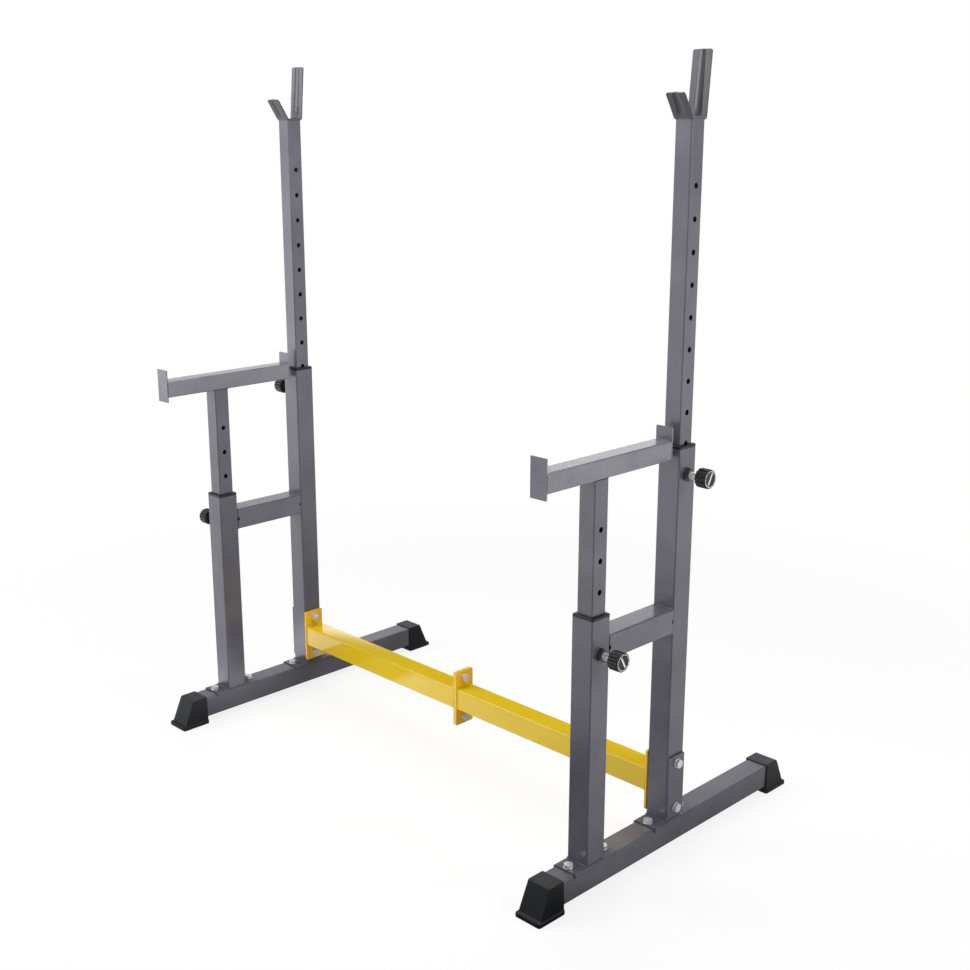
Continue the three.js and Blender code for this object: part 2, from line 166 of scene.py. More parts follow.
def heading_share(tree, vector):
    """A direction's heading as a value from 0 to 1, which is 0 at -X and 0.25 at -Y."""
    parts = node(tree, "ShaderNodeSeparateXYZ", {"Vector": vector})
    angle = node(tree, "ShaderNodeMath", {0: parts.outputs["Y"], 1: parts.outputs["X"]},
                 operation="ARCTAN2")
    return node(tree, "ShaderNodeMath", {0: angle, 1: 0.5 / math.pi, 2: 0.5}, operation="MULTIPLY_ADD")


print("stops for two levels:", round_trip((0.2, 0.6)))

# %% [markdown]
# ## Light from the floor
# Everything but the camera sees a floor that glows, which is painted light in place of lamp light
# on paper: little close to the stands, painted shade where they would take the light away, and more
# further out, with some sectors of the floor brighter than others. That makes the tubes darker
# towards the floor. Metal and gloss mirror this glowing paper too, apart from the sector on the
# camera's side, where the glow is low as painted shade. Its image is the dark line along each rounded
# corner that faces the camera. One strip of paper in front of the crossbar glows brighter, also
# painted light, and its image makes the bar's glossy side pale. The strip has a gap where the left beam
# stands in it.

# %% Light from the floor
FLOOR_GLOW = 1.8
GLOW_BY_METRE = ((0.65, 0.20), (1.05, 0.66), (2.1, 0.78), (3.3, 0.83), (7.0, 0.96))
GLOW_BY_HEADING = (1.0, 0.86, 0.50, 0.95, 0.76, 0.70, 0.83, 0.77)
RAMP_METRES = 10.0
PAINTED_SHADE_SIDE = (0.71, -0.71, 0.0)
PAINTED_SHADE_EDGE = (0.86, 0.95)
PAINTED_SHADE_LEVEL = 0.1
STRIP_GLOW = 1.6
STRIP_ACROSS = ((-0.98, 0.0), (-0.90, 1.0), (-0.73, 1.0), (-0.69, 0.0), (-0.46, 0.0), (-0.41, 1.0),
                (-0.30, 0.8), (-0.05, 0.62), (0.25, 0.55), (0.44, 0.5), (0.5, 0.0))
STRIP_AHEAD = ((-0.45, 0.0), (-0.38, 1.0), (-0.12, 1.0), (-0.04, 0.0))

paper = bpy.data.materials.new("white_paper_sweep")
tree = empty_tree(paper)
rays = node(tree, "ShaderNodeLightPath")
spot = node(tree, "ShaderNodeTexCoord").outputs["Object"]
away = node(tree, "ShaderNodeVectorMath", {0: spot}, operation="LENGTH")
share = node(tree, "ShaderNodeMath", {0: away, 1: 1 / RAMP_METRES}, operation="MULTIPLY")
by_metre = node(tree, "ShaderNodeValToRGB", {"Fac": share},
                [(metres / RAMP_METRES, level) for metres, level in GLOW_BY_METRE])
by_heading = node(tree, "ShaderNodeValToRGB", {"Fac": heading_share(tree, spot)},
                  round_trip(GLOW_BY_HEADING))
heading = node(tree, "ShaderNodeVectorMath", {0: spot}, operation="NORMALIZE")
toward = node(tree, "ShaderNodeVectorMath", {0: heading, 1: PAINTED_SHADE_SIDE}, operation="DOT_PRODUCT")
shade_toward_side = node(tree, "ShaderNodeMapRange",
                {"Value": toward, "From Min": PAINTED_SHADE_EDGE[0], "From Max": PAINTED_SHADE_EDGE[1],
                 "To Min": 1.0, "To Max": PAINTED_SHADE_LEVEL}, interpolation_type="SMOOTHSTEP")
mirrored = node(tree, "ShaderNodeMath",
                {0: rays.outputs["Is Glossy Ray"], 1: rays.outputs["Is Transmission Ray"]},
                operation="MAXIMUM")
painted_shade_share = node(tree, "ShaderNodeMix", {"Factor": mirrored, "A": 1.0, "B": shade_toward_side})
painted_glow_share = node(tree, "ShaderNodeMath", {0: painted_shade_share, 1: FLOOR_GLOW}, operation="MULTIPLY")
sector_glow = by_metre
for factor in (by_heading, painted_glow_share):
    sector_glow = node(tree, "ShaderNodeMath", {0: sector_glow, 1: factor}, operation="MULTIPLY")
parts = node(tree, "ShaderNodeSeparateXYZ", {"Vector": spot})
strip_sides = []
for way, levels in (("X", STRIP_ACROSS), ("Y", STRIP_AHEAD)):
    share = node(tree, "ShaderNodeMapRange", {"Value": parts.outputs[way], "From Min": -1.0})
    strip_sides.append(node(tree, "ShaderNodeValToRGB", {"Fac": share},
                            [((metres + 1) / 2, level) for metres, level in levels]))
strip = node(tree, "ShaderNodeMath", {0: strip_sides[0], 1: strip_sides[1]}, operation="MULTIPLY")
strength = node(tree, "ShaderNodeMath", {0: strip, 1: STRIP_GLOW, 2: sector_glow},
                operation="MULTIPLY_ADD")
# The floor's glow is an emission: painted light, with painted shade near the stands.
painted_paper_glow = node(tree, "ShaderNodeEmission", {"Color": (1, 1, 1, 1), "Strength": strength})
print("floor glows from", GLOW_BY_METRE[0][0], "m outwards")

# %% [markdown]
# ## White for the camera
# To the camera the floor is mostly plain white, with a little plain diffuse paint in it near the
# stands, so that a faint shadow stays there. Further out it is white alone. Light Path tells the
# camera's rays from all others.

# %% White for the camera
WHITE_NEAR = 0.825
SHADE_NEAR = 0.20
FADE_METRES = (1.0, 2.4)

white_share, shade_share = (
    node(tree, "ShaderNodeMapRange",
         {"Value": away, "From Min": FADE_METRES[0], "From Max": FADE_METRES[1], "To Min": near,
          "To Max": far}, interpolation_type="SMOOTHSTEP")
    for near, far in ((WHITE_NEAR, 1.0), (SHADE_NEAR, 0.0)))
white = node(tree, "ShaderNodeEmission", {"Color": (1, 1, 1, 1), "Strength": white_share})
shaded = node(tree, "ShaderNodeBsdfDiffuse", {"Color": shade_share})
seen = node(tree, "ShaderNodeAddShader", {0: white, 1: shaded})
mixed = node(tree, "ShaderNodeMixShader", {0: rays.outputs["Is Camera Ray"], 1: painted_paper_glow, 2: seen})
node(tree, "ShaderNodeOutputMaterial", {"Surface": mixed})
floor_mesh.materials.append(paper)
print("nodes in the paper:", len(tree.nodes))

# %% [markdown]
# ## Backdrop and lamps
# Behind the stands, at the left, a white wall is lit low down. It shows as a sheen on the tops of
# the arms, which the camera sees at a low angle. The rest of the room is dark, but for some light
# high up. The world holds this room: one ramp over the heading and one over the height. Softboxes
# do the rest: one overhead, one at the front left, one at the right, and a small one low down at the
# left, which gives the sloped fronts of the boots their sheen.

# %% Light the room
ROOM_LIGHT = 22.0
ROOM_BY_HEADING = (0.10, 0.16, 0.15, 0.12, 0.25, 0.25, 0.12, 0.07, 0.08, 0.07, 0.02, 0.25, 0.75, 0.86,
                   0.54, 0.10)
ROOM_BY_HEIGHT = ((0.0, 0.165), (0.07, 0.165), (0.18, 0.065), (0.30, 0.065), (0.34, 0.19), (0.361, 0.19),
                  (0.3645, 0.004), (0.5, 0.008), (0.68, 0.115), (0.95, 0.0))

world = bpy.data.worlds.new("studio_room")
bpy.context.scene.world = world
tree = empty_tree(world)
rays = node(tree, "ShaderNodeLightPath")
ray = node(tree, "ShaderNodeTexCoord").outputs["Generated"]
wall = node(tree, "ShaderNodeValToRGB", {"Fac": heading_share(tree, ray)}, round_trip(ROOM_BY_HEADING))
height = node(tree, "ShaderNodeSeparateXYZ", {"Vector": ray}).outputs["Z"]
fade = node(tree, "ShaderNodeValToRGB", {"Fac": height}, ROOM_BY_HEIGHT)
level = node(tree, "ShaderNodeMath", {0: wall, 1: fade}, operation="MULTIPLY")
bright = node(tree, "ShaderNodeMath", {0: level, 1: ROOM_LIGHT}, operation="MULTIPLY")
room = node(tree, "ShaderNodeBackground", {"Color": (1, 1, 1, 1), "Strength": bright})
backdrop = node(tree, "ShaderNodeBackground", {"Color": (1, 1, 1, 1), "Strength": 1.0})
mixed = node(tree, "ShaderNodeMixShader", {0: rays.outputs["Is Camera Ray"], 1: room, 2: backdrop})
node(tree, "ShaderNodeOutputWorld", {"Surface": mixed})
print("the room has", len(ROOM_BY_HEADING), "sectors")

# %% Place the softboxes
SOFTBOXES = (
    ("overhead_softbox", (0.0, 0.0, 2.3), (0, 0, 0.5), 1.4, 19),
    ("front_left_softbox", (-2.3, -2.2, 2.4), (-0.3, 0, 0.8), 2.0, 59),
    ("low_left_softbox", (-3.3, -2.2, 0.65), (-0.59, -0.4, 0.05), 0.9, 3.5),
    ("right_softbox", (2.4, 0.8, 1.9), (0.5, 0, 0.8), 1.4, 24),
)

for name, place, aim, size, watts in SOFTBOXES:
    light = bpy.data.lights.new(name, "AREA")
    light.shape = "SQUARE"
    light.size = size
    light.energy = watts
    lamp = new_object(name, light)
    lamp.location = place
    lamp.rotation_euler = (Vector(aim) - Vector(place)).to_track_quat("-Z", "Y").to_euler()
    print(name, size, "m wide,", watts, "W")
bpy.context.scene.view_settings.view_transform = "Standard"

# %% [markdown]
# ## Grey powder coat
# The tubes are mild steel with a baked polyester powder coat in a metallic grey. The powder melts
# into a satin skin with a fine orange peel, and its aluminium flakes give a slight sparkle that
# differs from grain to grain. Real flakes are under 0.1 mm, too fine for this picture, so they are
# drawn 0.9 mm wide. A slow cloud, about 90 mm across, stands for the uneven thickness of the coat.
# Under it the drawing lines of the steel run along each tube. Level tubes and arms get lighter copies
# of the coat, which is painted light. Cups and some edges get darker copies, which is painted shade.

# %% Grey powder coat
MM = 0.001
FLAKE_MM = 0.9
CLOUD_MM = 90
PEEL_MM = 2.2
FLAKE_SHARE = 0.36
FLAKE_METAL = 0.25
LINES_UPRIGHT_MM = (1.2, 1.2, 70.0)
LINES_LEVEL_MM = (1.2, 70.0, 1.2)


def scale_for(size_mm):
    """The scale of a texture whose pattern is that many millimetres wide."""
    return 1 / (size_mm * MM)


def new_material(name):
    """A material with an empty tree, and the place on the object that its patterns follow."""
    material = bpy.data.materials.new(name)
    tree = empty_tree(material)
    return material, tree, node(tree, "ShaderNodeTexCoord").outputs["Object"]


def powder_coat(name, dark, light, roughness=0.25, lines_mm=LINES_UPRIGHT_MM):
    """A satin metallic powder coat whose flakes vary between two colours."""
    material, tree, place = new_material(name)
    flakes = node(tree, "ShaderNodeTexVoronoi", {"Vector": place, "Scale": scale_for(FLAKE_MM)},
                  feature="F1")
    cloud = node(tree, "ShaderNodeTexNoise",
                 {"Vector": place, "Scale": scale_for(CLOUD_MM), "Detail": 3.0})
    blend = node(tree, "ShaderNodeMix",
                 {"Factor": FLAKE_SHARE, "A": cloud.outputs["Color"], "B": flakes.outputs["Color"]},
                 data_type="RGBA")
    grey = node(tree, "ShaderNodeSeparateColor", {"Color": blend})
    tone = node(tree, "ShaderNodeMix", {"Factor": grey, "A": linear(dark), "B": linear(light)},
                data_type="RGBA")
    gloss = node(tree, "ShaderNodeMapRange",
                 {"Value": flakes, "To Min": roughness - 0.02, "To Max": roughness + 0.03})
    peel = node(tree, "ShaderNodeTexNoise",
                {"Vector": place, "Scale": scale_for(PEEL_MM), "Detail": 2.0})
    bump = node(tree, "ShaderNodeBump", {"Height": peel, "Strength": 0.04, "Distance": 0.2 * MM})
    along = node(tree, "ShaderNodeMapping",
                 {"Vector": place, "Scale": [scale_for(size) for size in lines_mm]})
    lines = node(tree, "ShaderNodeTexNoise", {"Vector": along, "Scale": 1.0, "Detail": 2.0})
    drawn = node(tree, "ShaderNodeBump",
                 {"Height": lines, "Strength": 0.12, "Distance": 0.25 * MM, "Normal": bump})
    coat = node(tree, "ShaderNodeBsdfPrincipled",
                {"Base Color": tone, "Metallic": FLAKE_METAL, "Roughness": gloss, "Normal": drawn})
    node(tree, "ShaderNodeOutputMaterial", {"Surface": coat})
    return material


grey_coat = powder_coat("grey_powder_coat_on_upright_tube", "484750", "787781")
# Lighter copies of the grey coat: painted light on the level tubes and on the arm tops.
painted_light_level_coat = powder_coat("grey_powder_coat_painted_lighter_on_level_tube", "504f58", "807f89", lines_mm=LINES_LEVEL_MM)
painted_light_arm_coat = powder_coat("grey_powder_coat_painted_lighter_on_arm", "63626a", "9897a0", lines_mm=LINES_LEVEL_MM)
# Darker copies of the grey coat: painted shade on the cups, on some edges and on the weld nuts.
painted_shade_cup_coat = powder_coat("grey_powder_coat_painted_darker_on_cup", "37363b", "5f5e64", 0.32)
painted_shade_coat = powder_coat("grey_powder_coat_painted_darker_for_shade", "343338", "4f4e54", 0.3)
print("materials:", [m.name for m in bpy.data.materials])

# %% [markdown]
# ## Yellow enamel
# The crossbar has a glossy stoving enamel over steel. Enamel is a smooth dielectric film, so the
# white room shows in it as a pale sheen, strongest where it is seen at a low angle. It flows into
# a long, faint wave as it dries, about 6 mm from crest to crest, and its colour drifts over some
# 70 mm with its thickness. The flanges take a thicker film, a little more orange, and a lighter colour,
# which is painted light.

# %% Yellow enamel
THICKNESS_MM = 70
WAVE_MM = 6


def enamel(name, thin, full):
    """A glossy film whose colour drifts between a thin and a full coat."""
    material, tree, place = new_material(name)
    cloud = node(tree, "ShaderNodeTexNoise",
                 {"Vector": place, "Scale": scale_for(THICKNESS_MM), "Detail": 4.0})
    tone = node(tree, "ShaderNodeMix", {"Factor": cloud, "A": linear(thin), "B": linear(full)},
                data_type="RGBA")
    wave = node(tree, "ShaderNodeTexNoise",
                {"Vector": place, "Scale": scale_for(WAVE_MM), "Detail": 1.0})
    bump = node(tree, "ShaderNodeBump", {"Height": wave, "Strength": 0.03, "Distance": 0.3 * MM})
    film = node(tree, "ShaderNodeBsdfPrincipled", {"Base Color": tone, "Roughness": 0.05, "Normal": bump})
    node(tree, "ShaderNodeOutputMaterial", {"Surface": film})
    return material


yellow_enamel = enamel("yellow_stoving_enamel", "e4bb13", "eaca1b")
# The flanges' colour is lighter than the bar's, which is painted light.
flange_enamel_painted_lighter = enamel("orange_yellow_enamel_painted_lighter_on_flanges", "f6bb1b", "fbc826")
print("enamels:", yellow_enamel.name, flange_enamel_painted_lighter.name)

# %% [markdown]
# ## Zinc plate
# Bolts, nuts, pins and barrels are steel with bright zinc plate. It is a metal, so it shows the
# room rather than a colour of its own, slightly blue, and blotchy from the plating bath at about
# 5 mm. The clear chromate film over the zinc scatters some of the light, so it is a little less
# than fully metallic. Handling leaves it neither polished nor dull.

# %% Zinc plate
BLOTCH_MM = 5

zinc, tree, place = new_material("bright_zinc_plate")
blotch = node(tree, "ShaderNodeTexNoise",
              {"Vector": place, "Scale": scale_for(BLOTCH_MM), "Detail": 4.0})
tone = node(tree, "ShaderNodeMix", {"Factor": blotch, "A": linear("cfd1d6"), "B": linear("f4f4f6")},
            data_type="RGBA")
gloss = node(tree, "ShaderNodeMapRange", {"Value": blotch, "To Min": 0.46, "To Max": 0.3})
metal = node(tree, "ShaderNodeBsdfPrincipled", {"Base Color": tone, "Metallic": 0.65, "Roughness": gloss})
node(tree, "ShaderNodeOutputMaterial", {"Surface": metal})
print("metal:", zinc.name)

# %% [markdown]
# ## Moulded plastic and rubber
# Collars and knobs are injection-moulded black plastic with a fine spark-eroded grain. The boots
# are a softer moulded rubber: duller, a little greyer, with a coarser grain and dust near the
# floor. Both grains are drawn about 1 mm wide so that they show. Two more finishes are plain
# grained skins as well: the white print on the knobs, and the tubes' bores, whose dark mill scale,
# the oxide that hot rolling leaves on steel, is drawn near black with painted shade on top of it.

# %% Moulded plastic and rubber
DUST_HEIGHT_MM = 18
DUST_SHARE = 0.35


def moulded(name, dark, light, roughness, grain_mm, depth, dust=None, gloss=0.5):
    """A grained skin between two colours. Dust is a third colour, which covers its foot."""
    material, tree, place = new_material(name)
    grain = node(tree, "ShaderNodeTexNoise",
                 {"Vector": place, "Scale": scale_for(grain_mm), "Detail": 3.0})
    tone = node(tree, "ShaderNodeMix", {"Factor": grain, "A": linear(dark), "B": linear(light)},
                data_type="RGBA")
    if dust:
        height = node(tree, "ShaderNodeSeparateXYZ", {"Vector": place}).outputs["Z"]
        low = node(tree, "ShaderNodeMapRange",
                   {"Value": height, "From Min": 0.0, "From Max": DUST_HEIGHT_MM * MM,
                    "To Min": DUST_SHARE, "To Max": 0.0})
        tone = node(tree, "ShaderNodeMix", {"Factor": low, "A": tone, "B": linear(dust)},
                    data_type="RGBA")
    bump = node(tree, "ShaderNodeBump", {"Height": grain, "Strength": depth, "Distance": 0.2 * MM})
    skin = node(tree, "ShaderNodeBsdfPrincipled",
                {"Base Color": tone, "Roughness": roughness, "Specular IOR Level": gloss,
                 "Normal": bump})
    node(tree, "ShaderNodeOutputMaterial", {"Surface": skin})
    return material


black_plastic = moulded("black_moulded_plastic", "0f0f12", "19191e", 0.3, 0.8, 0.12, gloss=0.36)
black_rubber = moulded("black_moulded_rubber", "0f1015", "1b1c23", 0.45, 1.2, 0.35, "282930", 0.36)
white_print = moulded("white_pad_print", "dcdcde", "f2f2f3", 0.5, 0.6, 0.1)
# Near black in the bores: dark oxide, with painted shade on top of it.
mill_scale_and_painted_shade = moulded("mill_scale_and_painted_shade_in_bore", "0c0c0d", "161617", 0.6, 1.5, 0.2)
print("moulded:", black_plastic.name, black_rubber.name, "printed:", white_print.name)

# %% [markdown]
# ## Shapes from rings
# Nearly every piece here is a tube, a plate, a ring or a turned part: a row of closed outlines
# with skin between them. One function skins such rings. Sizes are in millimetres until the mesh is
# made. A shape is a pair: an array of points and a list of faces. Shapes are made upright, along Z,
# and matrices lay them along X or Y, or point them outwards from either stand.

# %% Ring helpers


def ring(outline, height):
    """A flat outline lifted to a height."""
    outline = np.asarray(outline, float)
    return np.column_stack([outline, np.full(len(outline), float(height))])


def skinned(rings, loop=False):
    """A closed shape through rings that run counterclockwise seen from the last one."""
    count = len(rings[0])
    faces = []
    for here in range(len(rings) if loop else len(rings) - 1):
        low, high = here * count, (here + 1) % len(rings) * count
        for step in range(count):
            after = (step + 1) % count
            faces.append((low + step, low + after, high + after, high + step))
    if not loop:
        faces.append(tuple(reversed(range(count))))
        faces.append(tuple(range((len(rings) - 1) * count, len(rings) * count)))
    return np.concatenate(rings), faces


def rounded(width, depth, corner, steps=6):
    """A rectangle with round corners, centred on zero."""
    points = []
    for quarter, (right, up) in enumerate(((1, 1), (-1, 1), (-1, -1), (1, -1))):
        for step in range(steps + 1):
            angle = math.pi / 2 * (quarter + step / steps)
            points.append((right * (width / 2 - corner) + corner * math.cos(angle),
                           up * (depth / 2 - corner) + corner * math.sin(angle)))
    return points


def turn_angles(sides):
    """Even angles round a full turn."""
    return 2 * math.pi * np.arange(sides) / sides


def polar_ring(radius, height, sides=40):
    """A ring about Z. Radius and height are one number each, or one number for each side."""
    angles = turn_angles(sides)
    return np.column_stack([radius * np.cos(angles), radius * np.sin(angles), height + 0 * angles])


def turned_part(profile, sides=40):
    """A solid of revolution about Z from (radius, height) pairs."""
    return skinned([polar_ring(radius, height, sides) for radius, height in profile])


def merged(*shapes):
    """Several shapes as one."""
    points, faces, used = [], [], 0
    for shape_points, shape_faces in shapes:
        points.append(shape_points)
        faces += [tuple(used + corner for corner in face) for face in shape_faces]
        used += len(shape_points)
    return np.concatenate(points), faces


def moved(shape, place=(0, 0, 0), turn=None):
    """A shape turned by a matrix and then shifted to a place."""
    points, faces = shape
    if turn is not None:
        points = points @ np.array(turn.to_3x3()).T
    return points + np.asarray(place, float), faces


ALONG_X = Matrix.Rotation(math.pi / 2, 3, "Y")
ALONG_Y = Matrix.Rotation(-math.pi / 2, 3, "X")
HALF_TURN = Matrix.Rotation(math.pi, 3, "Z")
OUTWARDS = {1: ALONG_X, -1: HALF_TURN @ ALONG_X}
QUARTER = np.linspace(0, math.pi / 2, 7)
print("a round corner of 6 steps has", len(rounded(50.8, 50.8, 3.2)), "points")

# %% [markdown]
# ## Making a piece
# Each piece becomes one mesh object that rides on a body of the CAD model, so that it moves with
# the joints, and stands for the CAD node that it details. Faces that meet at a shallow angle are
# shaded smooth, and normals are weighted by area, so that flat tube walls stay flat right up to
# their rounded corners.

# %% Piece and drill functions
SMOOTH_ANGLE = math.radians(38)


def to_mesh(name, shape):
    """A mesh in metres from a shape in millimetres."""
    points, faces = shape
    mesh = bpy.data.meshes.new(name)
    mesh.from_pydata((points * MM).tolist(), [], faces)
    mesh.validate()
    mesh.update()
    return mesh


def round_edges(piece, radius, segments=3, sharpest=SMOOTH_ANGLE, harden=True):
    """Rounds the edges that are sharper than an angle."""
    edge = piece.modifiers.new("edge_radius", "BEVEL")
    edge.width = radius * MM
    edge.segments = segments
    edge.limit_method = "ANGLE"
    edge.angle_limit = sharpest
    edge.harden_normals = harden


def add_piece(name, shape, material, body, stands_for=None, bevel=0.0):
    """Adds an object that rides on a body and may stand for a CAD node."""
    mesh = to_mesh(name, shape)
    mesh.materials.append(material)
    mesh.polygons.foreach_set("use_smooth", [True] * len(mesh.polygons))
    mesh.set_sharp_from_angle(angle=SMOOTH_ANGLE)
    piece = new_object(name, mesh)
    if bevel:
        round_edges(piece, bevel)
    normals = piece.modifiers.new("flat_walls", "WEIGHTED_NORMAL")
    normals.keep_sharp = not bevel
    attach(piece, body)
    if stands_for:
        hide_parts(stands_for)
    return piece


def second_coat(piece, material, chosen):
    """Gives another material to the faces for which chosen(face) holds."""
    piece.data.materials.append(material)
    for face in piece.data.polygons:
        face.material_index = int(chosen(face))


def faces_along_y(face):
    """True for a face that looks along Y, give or take 25 degrees."""
    return abs(face.normal.y) > 0.9


def drilled(shape, cutters):
    """The shape with cutter shapes taken out of it."""
    body = new_object("drill_body", to_mesh("drill_body", shape))
    tool = new_object("drill_tool", to_mesh("drill_tool", merged(*cutters)))
    cut = body.modifiers.new("drill", "BOOLEAN")
    cut.operation = "DIFFERENCE"
    cut.solver = "EXACT"
    cut.object = tool
    whole = body.evaluated_get(bpy.context.evaluated_depsgraph_get()).to_mesh()
    points = np.array([v.co for v in whole.vertices]) / MM
    faces = [tuple(p.vertices) for p in whole.polygons]
    for one in (body, tool):
        bpy.data.objects.remove(one)
    return points, faces


def span(name):
    """The lowest and highest corner of a CAD node, and its middle, in millimetres."""
    low, high = (np.array(corner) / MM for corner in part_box(name))
    return low, high, (low + high) / 2


SIDES = {"left": -1, "right": 1}
print("left mast box:", [np.round(v, 1).tolist() for v in span("left_mast")])

# %% [markdown]
# ## Square tubes
# Structural square tube is rolled from strip, so its corners are round outside and tighter inside.
# The wall shows only at open ends. A box with a Bevel modifier could do this, but a ring made from
# the real section also gives the bore. Beams, uprights and braces lie along one axis and take
# their size from their CAD node.

# %% Build the square tubes
OUTER_SIZE = 50.8
INNER_SIZE = 38.1
WALL = 1.5
OUTER_CORNER = 3.4
INNER_CORNER = 3.0
CUT_CHAMFER = 0.3
VENT_RADIUS = 4.5


def square_tube(size, corner, low, high):
    """An open square tube along Z with a slight chamfer on its cut ends."""
    outside = rounded(size, size, corner)
    edge = rounded(size - 2 * CUT_CHAMFER, size - 2 * CUT_CHAMFER, corner - CUT_CHAMFER)
    inside = rounded(size - 2 * WALL, size - 2 * WALL, corner - WALL)
    return skinned([
        ring(outside, low + CUT_CHAMFER), ring(outside, high - CUT_CHAMFER), ring(edge, high),
        ring(inside, high), ring(inside, low), ring(edge, low)], loop=True)


def tube_in_box(name, axis, corner):
    """A square tube that fills a CAD node's box along axis 0, 1 or 2."""
    low, high, middle = span(name)
    half = (high - low) / 2
    size = 2 * half[2 if axis == 1 else 1]
    turn = (ALONG_X, ALONG_Y, None)[axis]
    return moved(square_tube(size, corner, -half[axis], half[axis]), middle, turn)


def hole_along_x(radius, reach, place):
    """A round cutter for a hole."""
    return moved(turned_part([(radius, -reach), (radius, reach)], sides=32), place, ALONG_X)


for side in SIDES:
    for part, axis, coat in (("base_beam", 1, painted_light_level_coat), ("rear_upright", 2, grey_coat),
                             ("front_upright", 2, grey_coat)):
        name = f"{side}_{part}"
        add_piece(f"{name}_tube", tube_in_box(name, axis, OUTER_CORNER), coat, "frame", name)
    name = f"{side}_brace"
    low, high, middle = span(name)
    vents = [hole_along_x(VENT_RADIUS, 40, (middle[0], y, middle[2])) for y in (low[1], high[1])]
    brace = drilled(tube_in_box(name, 1, OUTER_CORNER), vents)
    add_piece(f"{name}_tube", brace, painted_light_level_coat, "frame", name)

# %% [markdown]
# ## Masts and arm posts
# The sliding tubes are drilled right through, one hole every 60 mm, for the lock pins. The holes
# are real cuts, because light falls through them and their far walls show. They line up with the
# pin in every locked position. Powder hardly gets into a tube, so the bore stays in dark mill
# scale, drawn near black with painted shade on top of it, so that the holes look black.

# %% Build the sliding tubes
HOLE_PITCH = 60.0
HOLE_RADIUS = 5.5
BORE_FROM = 15.0
SLIDERS = {"mast": ("rear", range(0, 10), "mast"), "arm_post": ("front", range(-2, 5), "arm")}


def in_bore(face, middle):
    """True for a face of the bore, which looks at the tube's axis from BORE_FROM away or more."""
    out = face.center - Vector(middle * MM)
    out.z = 0
    return face.normal.dot(out) < -BORE_FROM * MM and abs(face.normal.z) < 0.1


for side in SIDES:
    for part, (tower, steps, body) in SLIDERS.items():
        name = f"{side}_{part}"
        pin_height = span(f"{side}_{tower}_lock_pin")[2][2]
        middle = span(name)[2]
        holes = [hole_along_x(HOLE_RADIUS, 30, (middle[0], middle[1], pin_height + HOLE_PITCH * step))
                 for step in steps]
        shape = drilled(tube_in_box(name, 2, INNER_CORNER), holes)
        tube = add_piece(f"{name}_tube", shape, grey_coat, f"{side}_{body}", name)
        # The bore's near-black coat is partly painted shade.
        second_coat(tube, mill_scale_and_painted_shade, lambda face: in_bore(face, middle))
        print(name, "holes from", round(pin_height + HOLE_PITCH * steps[0], 1), "mm")

# %% [markdown]
# ## Saddles and backing plates
# A saddle is a plate bent down over both sides of the beam, so that its upright can't twist. The
# outer bend is as tight as the sheet allows. A backing plate spreads the load of the crossbar's
# bolts over the upright's outer wall. Both have sheared edges with a slight radius. The saddle's
# ends take the darker copy of the coat, which is painted shade for the seam under them.

# %% Build the saddles and backing plates
SADDLE_SHEET = 2.5
SADDLE_INSIDE = 25.5
SADDLE_BEND = 3.0
PLATE_CORNER = 3.0
EDGE_RADIUS = 0.5


def bent_saddle(name):
    """A plate over the beam, bent down on both sides, that fills its CAD node's box."""
    low, high, middle = span(name)
    drop = high[2] - low[2]
    outside = SADDLE_INSIDE + SADDLE_SHEET
    bend = [(outside - SADDLE_BEND * (1 - math.cos(a)), drop - SADDLE_BEND * (1 - math.sin(a)))
            for a in QUARTER]
    right = [(SADDLE_INSIDE, drop - SADDLE_SHEET), (SADDLE_INSIDE, 0), (outside, 0), *bend]
    outline = right + [(-x, z) for x, z in reversed(right)]
    section = [(x, -z) for x, z in reversed(outline)]
    length = high[1] - low[1]
    shape = skinned([ring(section, -length / 2), ring(section, length / 2)])
    return moved(shape, (middle[0], middle[1], low[2]), ALONG_Y)


def plate_along_x(name, corner):
    """A plate with round corners that fills its CAD node's box."""
    low, high, middle = span(name)
    size = high - low
    outline = rounded(size[2], size[1], corner, steps=4)
    return moved(skinned([ring(outline, -size[0] / 2), ring(outline, size[0] / 2)]), middle, ALONG_X)


for side in SIDES:
    for tower in ("rear", "front"):
        name = f"{side}_{tower}_saddle"
        saddle = add_piece(f"{name}_plate", bent_saddle(name), grey_coat, "frame", name,
                           EDGE_RADIUS)
        # The saddle's end faces take the darker copy of the coat: painted shade for the seam under them.
        second_coat(saddle, painted_shade_coat, faces_along_y)
    name = f"{side}_backing_plate"
    add_piece(f"{name}_sheet", plate_along_x(name, PLATE_CORNER), grey_coat, "frame", name,
              EDGE_RADIUS)
    low, high, middle = span(name)
    print(name, "covers", np.round(high - low, 1)[1:].tolist(), "mm of the upright")

# %% [markdown]
# ## Crossbar
# Each half of the crossbar is a square tube with a taller flange welded on both ends, and the
# halves bolt together back to back in the middle, so that the stand packs flat. The flanges have
# rounded corners and stand a little proud of the tube, whose ends are sunk 1 mm in them.

# %% Build the crossbar
FLANGE_THICKNESS = 5.0
SUNK = 1.0

for side in SIDES:
    name = f"{side}_crossbar"
    low, high, middle = span(name)
    size = high - low
    outline = rounded(size[2], size[1], PLATE_CORNER, steps=4)
    half = size[0] / 2
    tube = square_tube(OUTER_SIZE, OUTER_CORNER, SUNK - half, half - SUNK)
    flanges = [skinned([ring(outline, foot), ring(outline, foot + FLANGE_THICKNESS)])
               for foot in (-half, half - FLANGE_THICKNESS)]
    add_piece(f"{name}_tube", moved(tube, middle, ALONG_X), yellow_enamel, "frame", name)
    add_piece(f"{name}_flanges", moved(merged(*flanges), middle, ALONG_X), flange_enamel_painted_lighter, "frame",
              bevel=EDGE_RADIUS)
    print(name, "is", round(size[0], 1), "mm long")

